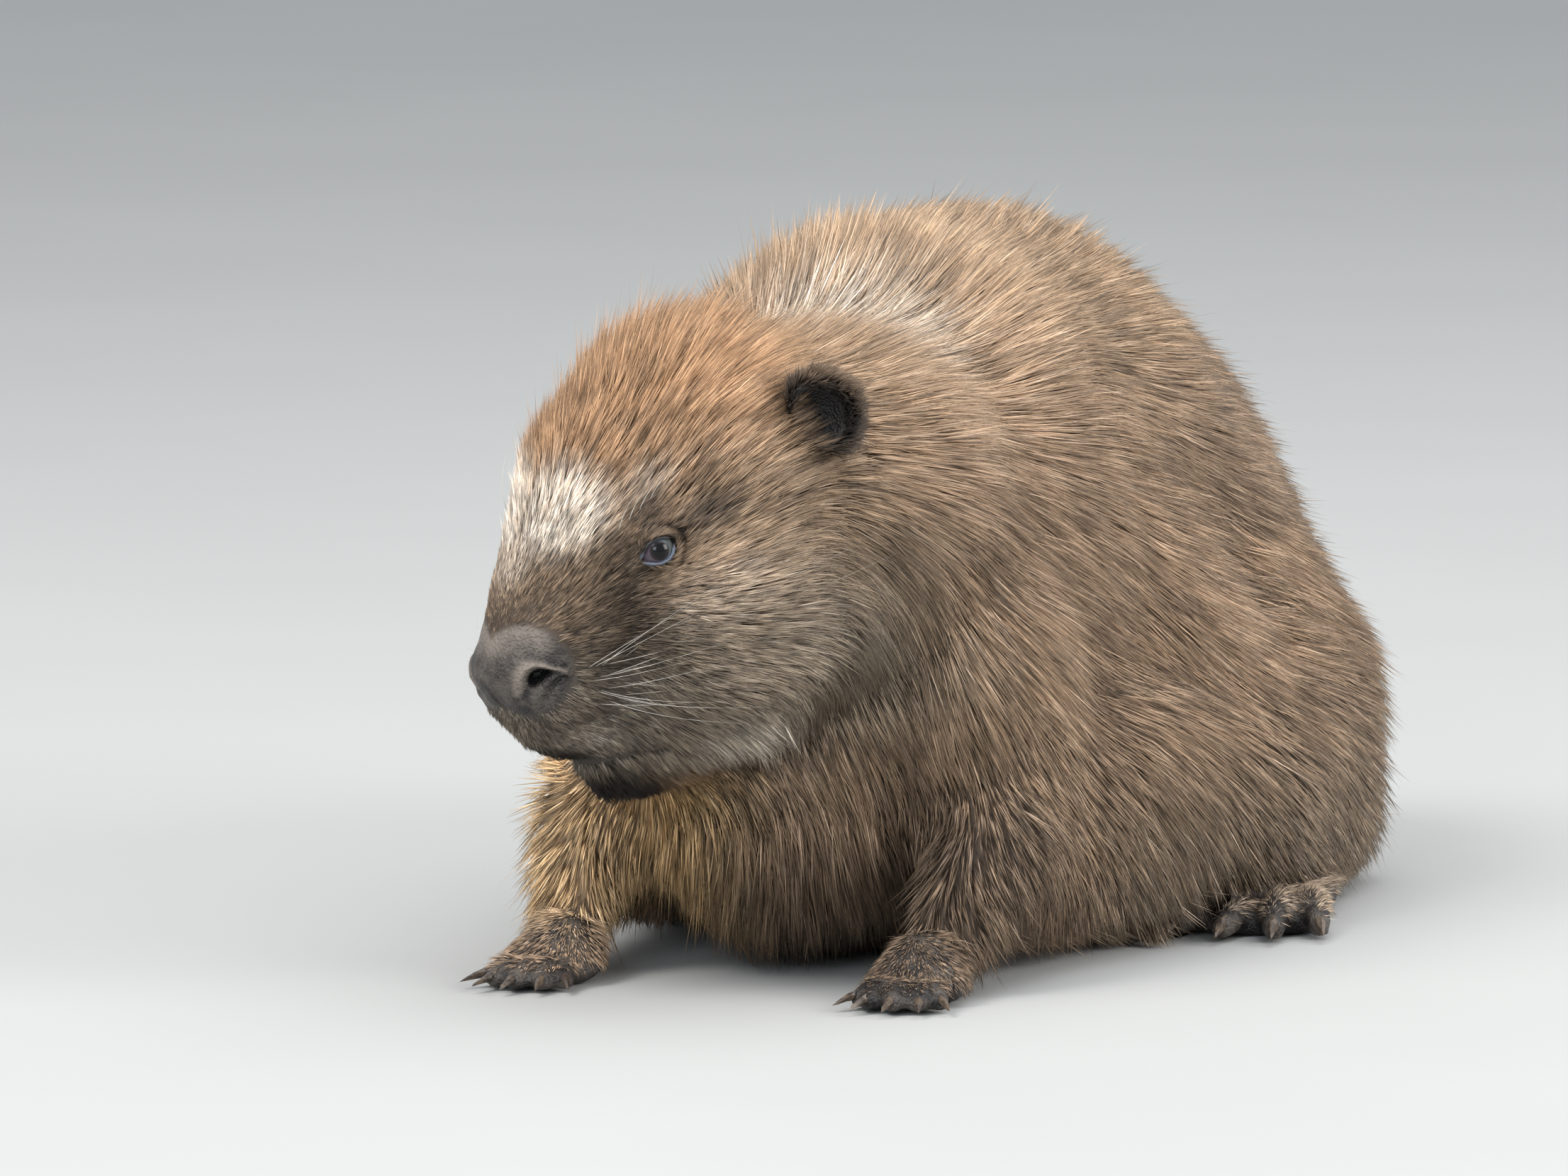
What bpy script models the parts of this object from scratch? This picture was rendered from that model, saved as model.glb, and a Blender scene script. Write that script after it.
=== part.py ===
"""A life-size still model of an adult Eurasian beaver, crouched on all fours with its belly on the
ground and its head turned to its right.

Frame: the trunk faces -Y, +X is the animal's left and +Z is up. Sizes below are in millimetres, out to
the tips of the coat, from a point on the floor under the highest part of the back. At the end the
whole model is moved so that the origin is on the floor under the middle of its outline.

The flesh is modelled whole, as rounded masses bridged by hulls, melted into one surface, and is then
parted with thin cuts into the pieces that a person would name.
"""

import math

import bmesh
import bpy
from mathutils import Matrix, Vector

MM = 0.001
GAP = 0.3  # clearance between neighbouring solids

# A mass is a rounded lump: its centre, then its half sizes along its frame's axes.

# Trunk: a pear of rounded sections from the chest to the root of the tail.
TRUNK_SECTIONS = [
    ((-6, -196, 92), (68, 40, 78)),
    ((-6, -150, 119), (90, 55, 116)),
    ((-10, -75, 128), (106, 60, 135)),
    ((-6, 5, 128), (106, 60, 136)),
    ((-6, 75, 114), (100, 60, 120)),
    ((-8, 150, 88), (88, 58, 92)),
    ((-13, 204, 56), (52, 36, 54)),
]

# The belly, spread on the floor between the limbs.
BELLY_SECTIONS = [
    ((-6, -130, 60), (80, 50, 60)),
    ((-6, -40, 62), (106, 60, 65)),
    ((-6, 70, 60), (108, 70, 63)),
]

# Limbs, for the animal's left side.
SHOULDER = ((60, -166, 104), (38, 48, 62))
ELBOW = ((73, -158, 52), (30, 38, 44))
FOREARM = ((78, -194, 50), (25, 25, 32))  # under the long hair of the chest and shoulder
WRIST = ((74, -224, 22), (17, 19, 19))
THIGH = ((82, 62, 64), (48, 82, 68))
KNEE = ((104, -2, 54), (32, 44, 48))
HOCK = ((98, 92, 24), (27, 36, 24))
FLANK_FOLD = ((86, -84, 58), (30, 52, 54))  # loose skin that fills the side between elbow and knee

# Head: its own frame is x forward, y to the animal's left, z up, from the tip of the nose.
NOSE_TIP = Vector((-75, -307, 113))
HEAD_YAW = math.radians(35)  # the turn to the animal's right
HEAD_PITCH = math.radians(25)  # the nose held low
MUZZLE = ((-37, 0, -3), (33, 27, 27))
WHISKER_PAD = ((-25, 14, -13), (19, 15, 16))
UPPER_LIP = ((-23, 0, -24), (16, 18, 16))  # hangs over the front teeth
NOSE_BRIDGE = ((-50, 0, 14), (36, 25, 29))
BROW = ((-81, 0, 29), (39, 43, 45))
CRANIUM = ((-112, 0, 26), (54, 56, 58))
CHEEK = ((-94, 30, -14), (48, 40, 46))
JAW = ((-67, 0, -42), (38, 28, 28))
CHIN = ((-44, 0, -51), (18, 16, 16))
THROAT = ((-110, 0, -34), (46, 50, 46))
NECK_BACK = -160  # where the head is parted from the neck
NAPE = ((6, -182, 166), (70, 54, 72))  # in the body's frame

# What is set on the head, in its frame.
EYE_RADIUS = 6.6
EYE = (-66.5, 43, 26.5)
NOSE_PAD = ((-18, 0, -0.5), (14, 21, 15))
NOSTRIL = ((-17, 19.5, -3), (5, 4.5, 2.6))
EAR = (-142, 54, 42)
EAR_SHELL = ((0, 0, 0), (8.5, 14, 16))  # outside of the cup
EAR_HOLLOW = ((6.5, 0, 1.5), (9, 11.2, 12))  # what is scooped out of its front
EAR_LEAN = math.radians(24)  # outward, from the head's own upright
EAR_TURN = math.radians(52)  # how far the cup faces outward from straight ahead

# Tail: a flat paddle that lies on the floor and swings to the animal's right.
TAIL_ROOT = Vector((-14, 226, 0))
TAIL_LENGTH = 264
TAIL_TURN = (math.radians(12), math.radians(46))  # heading at the root and at the tip
TAIL_HALF_WIDTH = 62
TAIL_HALF_THICKNESS = (25, 8.5)
TAIL_STEPS = 12
TAIL_CUT = 234  # where the tail is parted from the rump

# Feet, each in a frame that is x forward, y to the animal's left, z up, on the floor.
FORE_FOOT = ((70, -234, 0), math.radians(4))  # place of the wrist and turn outward
FORE_TOE_LENGTH = (17, 22, 24, 22, 17)
FORE_TOE_RADIUS = 4.6
FORE_TOE_SPREAD = math.radians(66)
FORE_PALM = 20  # from the wrist to the roots of the toes
WRIST_CUT = -2  # where the fore foot is parted from its leg
FORE_CLAW = (15, 2.3)  # length and root radius
HIND_FOOT = ((97, 96, 0), math.radians(8))  # place of the heel
HIND_TOE_LENGTH = (52, 62, 68, 66, 56)
HIND_TOE_RADIUS = 6.2
HIND_TOE_SPREAD = math.radians(36)
HIND_SOLE = 92  # from the heel to the roots of the toes
ANKLE_CUT = 17  # height of the cut between the hind foot and its leg
HIND_CLAW = (17, 3.0)
WEB_THICKNESS = 4
CLAW_SEAT = 2.5  # how far a claw's root reaches back into its toe
CLAW_RINGS = 5

# How finely each surface is melted together.
FLESH_VOXEL = 4.5
FOOT_VOXEL = 1.7
CLAW_VOXEL = 0.7
FLESH_TRIANGLES = 2050

SIDES = {"left": 1, "right": -1}

LOOKS = {  # base colour and roughness
    "coat": ((0.26, 0.17, 0.105, 1), 0.75),
    "face_coat": ((0.20, 0.155, 0.115, 1), 0.75),
    "ear_skin": ((0.035, 0.028, 0.026, 1), 0.8),
    "bare_skin": ((0.055, 0.047, 0.045, 1), 0.55),
    "tail_skin": ((0.06, 0.055, 0.055, 1), 0.5),
    "eye": ((0.02, 0.014, 0.012, 1), 0.05),
    "claw": ((0.07, 0.055, 0.045, 1), 0.35),
}


def material(look):
    """The named look as a Principled material, made once."""
    found = bpy.data.materials.get(look)
    if found:
        return found
    colour, roughness = LOOKS[look]
    made = bpy.data.materials.new(look)
    made.use_nodes = True
    shader = made.node_tree.nodes["Principled BSDF"]
    shader.inputs["Base Color"].default_value = colour
    shader.inputs["Roughness"].default_value = roughness
    shader.inputs["Metallic"].default_value = 0
    return made


def frame_from(forward, up, origin):
    """The matrix of a frame that is x forward, y left, z up, from that origin."""
    left = up.cross(forward)
    rotation = Matrix((forward, left, up)).transposed()
    return Matrix.Translation(origin) @ rotation.to_4x4()


def head_frame():
    """The head's frame in the body's: turned to the animal's right and tipped nose down."""
    ahead = Vector((-math.sin(HEAD_YAW), -math.cos(HEAD_YAW), 0))
    upright = Vector((0, 0, 1))
    forward = ahead * math.cos(HEAD_PITCH) - upright * math.sin(HEAD_PITCH)
    crown = ahead * math.sin(HEAD_PITCH) + upright * math.cos(HEAD_PITCH)
    return frame_from(forward, crown, NOSE_TIP)


def foot_frame(foot, side):
    """A foot's frame on the floor, its toes turned outward by the foot's own angle."""
    (x, y, z), turn = foot
    forward = Vector((side * math.sin(turn), -math.cos(turn), 0))
    return frame_from(forward, Vector((0, 0, 1)), (x * side, y, z))


BODY = Matrix.Identity(4)
HEAD = head_frame()
# The neck's back plane: between the shoulders, half as far turned as the head.
NECK_TURN = Matrix.Rotation(-HEAD_YAW / 2, 4, "Z") @ Matrix.Rotation(0.5, 4, "X")
NECK = Matrix.Translation((4, -128, 140)) @ NECK_TURN


def on_side(mass, side, axis=0):
    """A mass mirrored to the side, across the frame's x (axis 0) or y (axis 1)."""
    centre, size = mass
    centre = list(centre)
    centre[axis] *= side
    return (tuple(centre), size)


def ball(centre, radius):
    return (tuple(centre), (radius, radius, radius))


def grown(mass, extra):
    centre, size = mass
    return (centre, tuple(s + extra for s in size))


def mass_points(mass, frame, rings=12):
    """Points all over a mass that is placed in the frame."""
    centre, size = mass
    place = frame @ Matrix.Translation(centre) @ Matrix.Diagonal((*size, 1))
    bm = bmesh.new()
    bmesh.ops.create_uvsphere(bm, u_segments=rings * 5 // 3, v_segments=rings, radius=1)
    points = [place @ v.co for v in bm.verts]
    bm.free()
    return points


def add_hull(bm, masses, frame=BODY, rings=12):
    """Adds the hull round one or more masses, as a closed body of its own."""
    points = [p for mass in masses for p in mass_points(mass, frame, rings)]
    add_hull_of_points(bm, points)


def add_hull_of_points(bm, points):
    verts = [bm.verts.new(p * MM) for p in points]
    made = bmesh.ops.convex_hull(bm, input=verts)
    spare = set(made["geom_interior"] + made["geom_unused"])
    inside = [g for g in spare if isinstance(g, bmesh.types.BMVert)]
    bmesh.ops.delete(bm, geom=inside, context="VERTS")


def add_chain(bm, masses, frame=BODY):
    """Adds a hull between each two neighbours in a row of masses."""
    for one, other in zip(masses, masses[1:]):
        add_hull(bm, [one, other], frame)


def new_object(name, bm, look=None):
    """The bmesh as an object. One with no look is a cutter: it is hidden from the render."""
    bmesh.ops.recalc_face_normals(bm, faces=bm.faces)
    mesh = bpy.data.meshes.new(name)
    bm.to_mesh(mesh)
    bm.free()
    obj = bpy.data.objects.new(name, mesh)
    if look:
        mesh.materials.append(material(look))
        bpy.data.collections["beaver"].objects.link(obj)
    else:
        bpy.data.collections["cutters"].objects.link(obj)
        obj.hide_render = True
        obj.display_type = "WIRE"
    return obj


def settle(obj):
    """Replaces the object's mesh with what its modifiers make of it."""
    graph = bpy.context.evaluated_depsgraph_get()
    mesh = bpy.data.meshes.new_from_object(obj.evaluated_get(graph))
    obj.modifiers.clear()
    old = obj.data
    obj.data = mesh
    bpy.data.meshes.remove(old)
    return obj


def copy_of(obj, name, look=None):
    bm = bmesh.new()
    bm.from_mesh(obj.data)
    return new_object(name, bm, look)


def carve(obj, cutter, operation):
    """Cuts the cutter out of the object (DIFFERENCE), or keeps what the two share (INTERSECT)."""
    boolean = obj.modifiers.new("carve", "BOOLEAN")
    boolean.operation = operation
    boolean.object = cutter
    boolean.solver = "EXACT"
    settle(obj)
    bm = bmesh.new()
    bm.from_mesh(obj.data)
    bmesh.ops.triangulate(bm, faces=bm.faces)
    bm.to_mesh(obj.data)
    bm.free()
    return keep_largest(obj)


def swollen(obj, extra):
    """A copy of the object with its surface moved out by that much, as a cutter."""
    cutter = copy_of(obj, obj.name + "_swollen")
    displace = cutter.modifiers.new("swell", "DISPLACE")
    displace.strength = extra * MM
    displace.mid_level = 0
    return settle(cutter)


def melted(name, bm, voxel, softness, triangles, look=None, keep=None):
    """One smooth skin round everything in bm, in about that many triangles.

    The points that keep accepts stay denser than the others."""
    obj = new_object(name, bm, look)
    remesh = obj.modifiers.new("melt", "REMESH")
    remesh.mode = "VOXEL"
    remesh.voxel_size = voxel * MM
    soften = obj.modifiers.new("soften", "SMOOTH")
    soften.factor = 0.5
    soften.iterations = softness
    settle(obj)
    lighten = obj.modifiers.new("lighten", "DECIMATE")
    lighten.ratio = triangles / sum(len(p.vertices) - 2 for p in obj.data.polygons)
    if keep:
        group = obj.vertex_groups.new(name="thin out")
        for vert in obj.data.vertices:
            group.add([vert.index], 0.5 if keep(vert.co / MM) else 1, "REPLACE")
        lighten.vertex_group = group.name
        lighten.vertex_group_factor = 0.0001
    settle(obj)
    obj.vertex_groups.clear()
    obj.data.shade_smooth()
    return obj


def box_cutter(name, low, high, frame=BODY):
    """A box between two corners of the frame, as a cutter."""
    bm = bmesh.new()
    size = Vector(high) - Vector(low)
    middle = (Vector(high) + Vector(low)) / 2
    place = frame @ Matrix.Translation(middle) @ Matrix.Diagonal((*size, 1))
    for vert in bmesh.ops.create_cube(bm, size=1)["verts"]:
        vert.co = (place @ vert.co) * MM
    bmesh.ops.triangulate(bm, faces=bm.faces)
    return new_object(name, bm)


def on_floor(obj):
    """Cuts the object level with the floor, so that what reaches it ends in a flat."""
    return carve(obj, box_cutter("floor_cut", (-600, -600, -300), (600, 900, 0)), "DIFFERENCE")


def shaded(obj):
    """Smooth over the curves, sharp at the cuts."""
    obj.data.shade_smooth()
    obj.data.set_sharp_from_angle(angle=math.radians(50))
    return obj


def keep_largest(obj):
    """Drops every loose crumb but the largest body."""
    bm = bmesh.new()
    bm.from_mesh(obj.data)
    bodies = []
    free = set(bm.verts)
    while free:
        body = set()
        edge = [free.pop()]
        while edge:
            vert = edge.pop()
            body.add(vert)
            near = [e.other_vert(vert) for e in vert.link_edges]
            fresh = [v for v in near if v in free]
            free.difference_update(fresh)
            edge.extend(fresh)
        bodies.append(body)
    bodies.sort(key=len)
    for body in bodies[:-1]:
        bmesh.ops.delete(bm, geom=list(body), context="VERTS")
    bm.to_mesh(obj.data)
    bm.free()
    return obj


def zone_cutter(name, frame, low, high, spare, gap):
    """A box of the frame, swollen by the gap, without what another box of its own frame spares."""
    cutter = box_cutter(name, [c - gap for c in low], [c + gap for c in high], frame)
    if spare:
        frame, low, high = spare
        low, high = [c + gap for c in low], [c - gap for c in high]
        carve(cutter, box_cutter(name + "_spare", low, high, frame), "DIFFERENCE")
    return cutter


def part_off(flesh, name, frame, low, high, look, spare=None):
    """What a zone holds of the flesh becomes a piece, with the gap round it."""
    piece = copy_of(flesh, name, look)
    carve(piece, zone_cutter(name + "_zone", frame, low, high, spare, 0), "INTERSECT")
    carve(flesh, zone_cutter(name + "_cut", frame, low, high, spare, GAP), "DIFFERENCE")
    return shaded(piece)


# Under the right cheek the shoulder comes close, and is spared when the head is parted.
UNDER_CHEEK = HEAD @ Matrix.Translation((0, -57, -55)) @ Matrix.Rotation(math.radians(-50), 4, "X")

# The cuts that part the flesh, in order: each piece's name, its box's frame and two corners, and its
# look. What is left over is the trunk.
ZONES = [
    ("head", HEAD, (NECK_BACK, -74, -76), (60, 90, 120), "face_coat",
     (UNDER_CHEEK, (-260, -140, -150), (140, 140, 0))),
    ("neck", NECK, (-200, -100, -15), (200, 0, 160), "coat"),
    ("fore_leg_left", BODY, (40, -280, -10), (200, -112, 106), "coat"),
    ("fore_leg_right", BODY, (-200, -280, -10), (-40, -112, 106), "coat"),
    ("chest", BODY, (-200, -280, -10), (200, -108, 300), "coat"),
    ("hind_leg_left", BODY, (72, -70, -10), (200, 150, 96), "coat"),
    ("hind_leg_right", BODY, (-200, -70, -10), (-72, 150, 96), "coat"),
    ("tail", BODY, (-300, TAIL_CUT, -10), (300, 600, 200), "tail_skin"),
    ("rump", BODY, (-200, 118, -10), (200, 300, 300), "coat"),
]
LOWER_JAW = (HEAD, (-80, -36, -90), (20, 36, -41), "face_coat")  # parted from the head


def flesh_masses(bm):
    """Trunk, neck, head and limbs, down to the wrists and hocks."""
    add_chain(bm, TRUNK_SECTIONS)
    add_chain(bm, BELLY_SECTIONS)
    skull_back = [tuple(HEAD @ Vector(mass[0])) for mass in (CRANIUM, THROAT)]
    add_hull(bm, [(skull_back[0], (50, 50, 46)), NAPE])
    add_hull(bm, [(skull_back[1], (46, 44, 46)), NAPE])
    add_hull(bm, [NAPE, TRUNK_SECTIONS[1]])
    for side in SIDES.values():
        arm = [on_side(mass, side) for mass in (SHOULDER, ELBOW, FOREARM, WRIST)]
        add_chain(bm, arm)
        add_hull(bm, [arm[0], TRUNK_SECTIONS[1]])
        leg = [on_side(mass, side) for mass in (KNEE, THIGH, HOCK)]
        add_chain(bm, leg)
        add_hull(bm, [leg[0], leg[2]])
        add_hull(bm, [TRUNK_SECTIONS[3], leg[1]])
        add_hull(bm, [TRUNK_SECTIONS[2], leg[0]])
        add_chain(bm, [arm[1], on_side(FLANK_FOLD, side), leg[0]])
        add_hull(bm, [on_side(CHEEK, side, 1), JAW], HEAD)
        add_hull(bm, [on_side(CHEEK, side, 1), BROW], HEAD)
        add_hull(bm, [on_side(WHISKER_PAD, side, 1)], HEAD)
    add_hull(bm, [MUZZLE, BROW], HEAD)
    add_hull(bm, [MUZZLE, UPPER_LIP], HEAD)
    add_hull(bm, [MUZZLE, JAW], HEAD)
    add_hull(bm, [NOSE_BRIDGE], HEAD)
    add_hull(bm, [BROW, CRANIUM], HEAD)
    add_hull(bm, [CRANIUM, THROAT], HEAD)
    add_hull(bm, [JAW, THROAT], HEAD)
    add_hull(bm, [CHIN, JAW], HEAD)


def tail_points():
    """The middle line of the tail, as (place, heading, share of the length), root to tip."""
    place = TAIL_ROOT.copy()
    reached = 0
    for i in range(TAIL_STEPS + 1):
        share = math.sin(i / TAIL_STEPS * math.pi / 2)
        heading = TAIL_TURN[0] + (TAIL_TURN[1] - TAIL_TURN[0]) * share
        ahead = Vector((-math.sin(heading), math.cos(heading), 0))
        place += ahead * (share - reached) * TAIL_LENGTH
        reached = share
        yield place.copy(), heading, share


def tail_masses(bm):
    """The paddle: a round root that flattens and widens to a rounded tip."""
    last = None
    for place, heading, share in tail_points():
        rise = min(1, share / 0.3)
        width = 34 + (TAIL_HALF_WIDTH - 34) * math.sin(rise * math.pi / 2)
        width *= math.sqrt(1 - max(0, (share - 0.6) / 0.405) ** 2.3)
        root_thick, blade_thick = TAIL_HALF_THICKNESS
        thick = blade_thick + (root_thick - blade_thick) * (1 - rise) ** 1.4
        thick *= 1 - 0.35 * share
        frame = Matrix.Translation(place + Vector((0, 0, thick * 0.86))) @ Matrix.Rotation(heading, 4, "Z")
        here = mass_points(((0, 0, 0), (width, 8, thick)), frame)
        if last:
            add_hull_of_points(bm, last + here)
        last = here


def near_head(point):
    """Whether a point of the flesh is on the head or the neck, where the shape is finest."""
    return (HEAD.inverted() @ point).x > NECK_BACK - 20 and point.z > 30


def foot_mesh(name, masses, toes, radius, taper, webs, frame, triangles):
    """A foot and its toes melted into one, and the cutter that gives the claws their seats."""
    bm = bmesh.new()
    add_chain(bm, masses, frame)
    for start, middle, tip, _ in toes:
        add_chain(bm, [ball(start, radius), ball(middle, radius), ball(tip, radius * taper)], frame)
    for web in webs:
        add_hull(bm, web, frame)
    foot = melted(name, bm, FOOT_VOXEL, 2, triangles, "bare_skin")
    return foot, swollen(foot, GAP)


def toe_lines(lengths, spread, root, radius):
    """Each toe's root, knuckle, tip and heading, in its foot's frame."""
    lines = []
    for i, length in enumerate(lengths):
        turn = spread * (i / (len(lengths) - 1) - 0.5)
        ahead = Vector((math.cos(turn), math.sin(turn), 0))
        start = Vector((root, math.sin(turn) * root * 0.55, radius * 1.15))
        middle = start + ahead * length * 0.55 + Vector((0, 0, radius * 0.35))
        tip = start + ahead * length - Vector((0, 0, radius * 0.3))
        lines.append((start, middle, tip, ahead))
    return lines


def claws(name, toes, size, frame, seat):
    """A curved claw on each toe, which grows from its tip and points at the floor."""
    length, radius = size
    for number, (_, _, tip, ahead) in enumerate(toes, 1):
        base = tip - ahead * CLAW_SEAT + Vector((0, 0, radius * 0.7))
        rings = []
        for i in range(CLAW_RINGS):
            share = i / (CLAW_RINGS - 1)
            centre = base + ahead * length * share - Vector((0, 0, radius * 1.3 * share**2))
            rings.append(ball(centre, radius * (1 - 0.78 * share)))
        bm = bmesh.new()
        add_chain(bm, rings, frame)
        made = melted(f"{name}_{number}", bm, CLAW_VOXEL, 1, 36, "claw")
        carve(made, seat, "DIFFERENCE")


def fore_foot(leg, side_name, side):
    """A small hand, cut off at the wrist: a flat palm and five toes."""
    frame = foot_frame(FORE_FOOT, side)
    palm = [((0, 0, 12), (15, 15, 14)), ((14, 0, 7), (14, 19, 8.5))]
    toes = toe_lines(FORE_TOE_LENGTH, FORE_TOE_SPREAD, FORE_PALM, FORE_TOE_RADIUS)
    foot, seat = foot_mesh(f"fore_foot_{side_name}", palm, toes, FORE_TOE_RADIUS, 0.8, [], frame, 320)
    claws(f"fore_claw_{side_name}", toes, FORE_CLAW, frame, seat)
    carve(foot, box_cutter("fore_foot_zone", (WRIST_CUT, -40, -5), (80, 40, 60), frame), "INTERSECT")
    carve(leg, box_cutter("wrist_cut", (WRIST_CUT - GAP, -40, -20), (80, 40, 45), frame), "DIFFERENCE")
    return on_floor(foot)


def hind_foot(leg, side_name, side):
    """A long webbed foot under the leg: a flat sole and five toes joined by thin skin."""
    frame = foot_frame(HIND_FOOT, side)
    sole = [((0, 0, 15), (18, 20, 16)), ((50, 0, 9), (26, 21, 10)), ((86, 0, 7.5), (20, 27, 8.5))]
    toes = toe_lines(HIND_TOE_LENGTH, HIND_TOE_SPREAD, HIND_SOLE, HIND_TOE_RADIUS)
    webs = []
    for pair in zip(toes, toes[1:]):
        points = [p for start, middle, tip, _ in pair for p in (start, middle, middle.lerp(tip, 0.5))]
        webs.append([ball((p.x, p.y, WEB_THICKNESS * 0.6), WEB_THICKNESS / 2) for p in points])
    foot, seat = foot_mesh(f"hind_foot_{side_name}", sole, toes, HIND_TOE_RADIUS, 0.75, webs, frame, 400)
    claws(f"hind_claw_{side_name}", toes, HIND_CLAW, frame, seat)
    carve(foot, box_cutter("hind_foot_zone", (-40, -60, -5), (200, 60, ANKLE_CUT), frame), "INTERSECT")
    carve(leg, box_cutter("ankle_cut", (-80, -80, -20), (200, 80, ANKLE_CUT + GAP), frame), "DIFFERENCE")
    return on_floor(foot)


def lump(name, mass, frame, rings, look=None):
    """One rounded mass as an object."""
    bm = bmesh.new()
    add_hull(bm, [mass], frame, rings)
    made = new_object(name, bm, look)
    made.data.shade_smooth()
    return made


def ear(side_name, side, head_seat):
    """A small round ear, cupped forward and outward, grown from the head."""
    x, y, z = EAR
    turn = Matrix.Rotation(side * EAR_TURN, 4, "Z") @ Matrix.Rotation(-side * EAR_LEAN, 4, "X")
    frame = HEAD @ Matrix.Translation((x, y * side, z)) @ turn
    made = lump(f"ear_{side_name}", EAR_SHELL, frame, 8, "ear_skin")
    carve(made, lump("ear_hollow", EAR_HOLLOW, frame, 7), "DIFFERENCE")
    return carve(made, head_seat, "DIFFERENCE")


def set_in(head, name, mass, rings, look):
    """Sets a mass into the head, in a seat of its own shape."""
    carve(head, lump(name + "_seat", grown(mass, GAP), HEAD, rings), "DIFFERENCE")
    return lump(name, mass, HEAD, rings, look)


def centre_on_origin(nodes):
    """Moves the whole model so that the origin is under the middle of its outline."""
    corners = [Vector(corner) for node in nodes for corner in node.bound_box]
    middle = Vector((0, 0, 0))
    for axis in (0, 1):
        along = [corner[axis] for corner in corners]
        middle[axis] = (min(along) + max(along)) / 2
    for node in nodes:
        node.data.transform(Matrix.Translation(-middle))


def main():
    for old in list(bpy.data.objects):
        bpy.data.objects.remove(old)
    for name in ("beaver", "cutters"):
        bpy.context.scene.collection.children.link(bpy.data.collections.new(name))

    bm = bmesh.new()
    flesh_masses(bm)
    tail_masses(bm)
    flesh = on_floor(melted("trunk", bm, FLESH_VOXEL, 8, FLESH_TRIANGLES, "coat", near_head))

    pieces = {zone[0]: part_off(flesh, *zone) for zone in ZONES}
    shaded(flesh)
    for side_name, side in SIDES.items():
        fore_foot(pieces[f"fore_leg_{side_name}"], side_name, side)
        hind_foot(pieces[f"hind_leg_{side_name}"], side_name, side)

    head = pieces["head"]
    part_off(head, "lower_jaw", *LOWER_JAW)
    for side_name, side in SIDES.items():
        ear(side_name, side, swollen(head, GAP))
    nose = set_in(head, "nose", NOSE_PAD, 8, "bare_skin")
    for side_name, side in SIDES.items():
        set_in(head, f"eye_{side_name}", on_side(ball(EYE, EYE_RADIUS), side, 1), 8, "eye")
        carve(nose, lump("nostril", on_side(NOSTRIL, side, 1), HEAD, 5), "DIFFERENCE")
    shaded(head)
    centre_on_origin(list(bpy.data.collections["beaver"].objects))


main()
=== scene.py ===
import math

import bmesh
import bpy
import numpy as np
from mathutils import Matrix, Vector
from mathutils.bvhtree import BVHTree
from mathutils.kdtree import KDTree


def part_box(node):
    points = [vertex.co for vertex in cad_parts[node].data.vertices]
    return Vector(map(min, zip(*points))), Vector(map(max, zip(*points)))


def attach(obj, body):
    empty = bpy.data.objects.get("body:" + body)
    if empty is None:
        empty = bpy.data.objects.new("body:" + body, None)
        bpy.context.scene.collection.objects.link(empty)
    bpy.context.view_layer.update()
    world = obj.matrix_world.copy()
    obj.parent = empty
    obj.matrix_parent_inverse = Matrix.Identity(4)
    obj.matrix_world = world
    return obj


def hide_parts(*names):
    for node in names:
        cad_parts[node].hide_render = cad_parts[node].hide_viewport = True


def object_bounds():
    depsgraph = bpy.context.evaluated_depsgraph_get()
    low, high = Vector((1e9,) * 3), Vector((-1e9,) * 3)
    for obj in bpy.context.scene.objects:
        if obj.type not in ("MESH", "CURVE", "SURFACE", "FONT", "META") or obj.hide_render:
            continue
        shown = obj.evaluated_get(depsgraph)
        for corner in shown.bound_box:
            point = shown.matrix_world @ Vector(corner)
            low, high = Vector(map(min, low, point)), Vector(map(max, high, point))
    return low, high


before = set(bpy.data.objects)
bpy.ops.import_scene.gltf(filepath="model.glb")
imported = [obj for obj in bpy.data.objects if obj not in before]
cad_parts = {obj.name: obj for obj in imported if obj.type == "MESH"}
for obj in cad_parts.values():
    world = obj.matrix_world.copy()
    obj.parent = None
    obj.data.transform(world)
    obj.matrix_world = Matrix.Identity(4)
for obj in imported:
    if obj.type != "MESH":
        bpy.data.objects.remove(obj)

cad_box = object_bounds()
MM = 0.001

# ---- The skin ----
# The beaver's hide, one closed surface from the nose pad to the end of the tail. It lies under the coat by
# the hair's depth, and shows bare on the nose, the eyelids, the insides of the ears, the feet and the tail.

SKIN_GRAIN = 2.0 * MM  # how finely the flesh is melted
SEAM = 0.4 * MM  # what each part swells by, so that the cuts close
EYE_SINKS = 0.3 * MM  # what each eye shrinks by
SKIN_TRIANGLES = 150_000

# For each part: how deep the skin lies under the coat's tips, the hairs' length (mm), how far they stand off
# the skin (degrees), a tuft's width (mm), and how thickly the tufts are set.
PARTS = {
    "trunk": (6.5, 25, 15, 0.56, 1.0),
    "rump": (6.5, 24, 15, 0.56, 1.0),
    "neck": (7.5, 26, 18, 0.54, 1.15),
    "chest": (8.5, 28, 20, 0.56, 1.0),
    "head": (5.0, 12, 19, 0.5, 2.4),
    "lower_jaw": (2.0, 6, 15, 0.38, 3.0),
    "nose": (0.2, 1, 10, 0.4, 0.0),
    "fore_leg": (5.5, 17, 18, 0.52, 1.2),
    "hind_leg": (6.5, 23, 15, 0.56, 1.1),
    "fore_foot": (0.2, 5, 13, 0.40, 3.6),
    "hind_foot": (0.2, 5, 13, 0.40, 2.6),
    "ear": (0.5, 7, 26, 0.34, 5.0),
    "tail": (0.0, 13, 12, 0.45, 1.2),
}
PART_NAMES = list(PARTS)
NODE_PART = {node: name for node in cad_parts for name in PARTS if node.startswith(name)}


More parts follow.
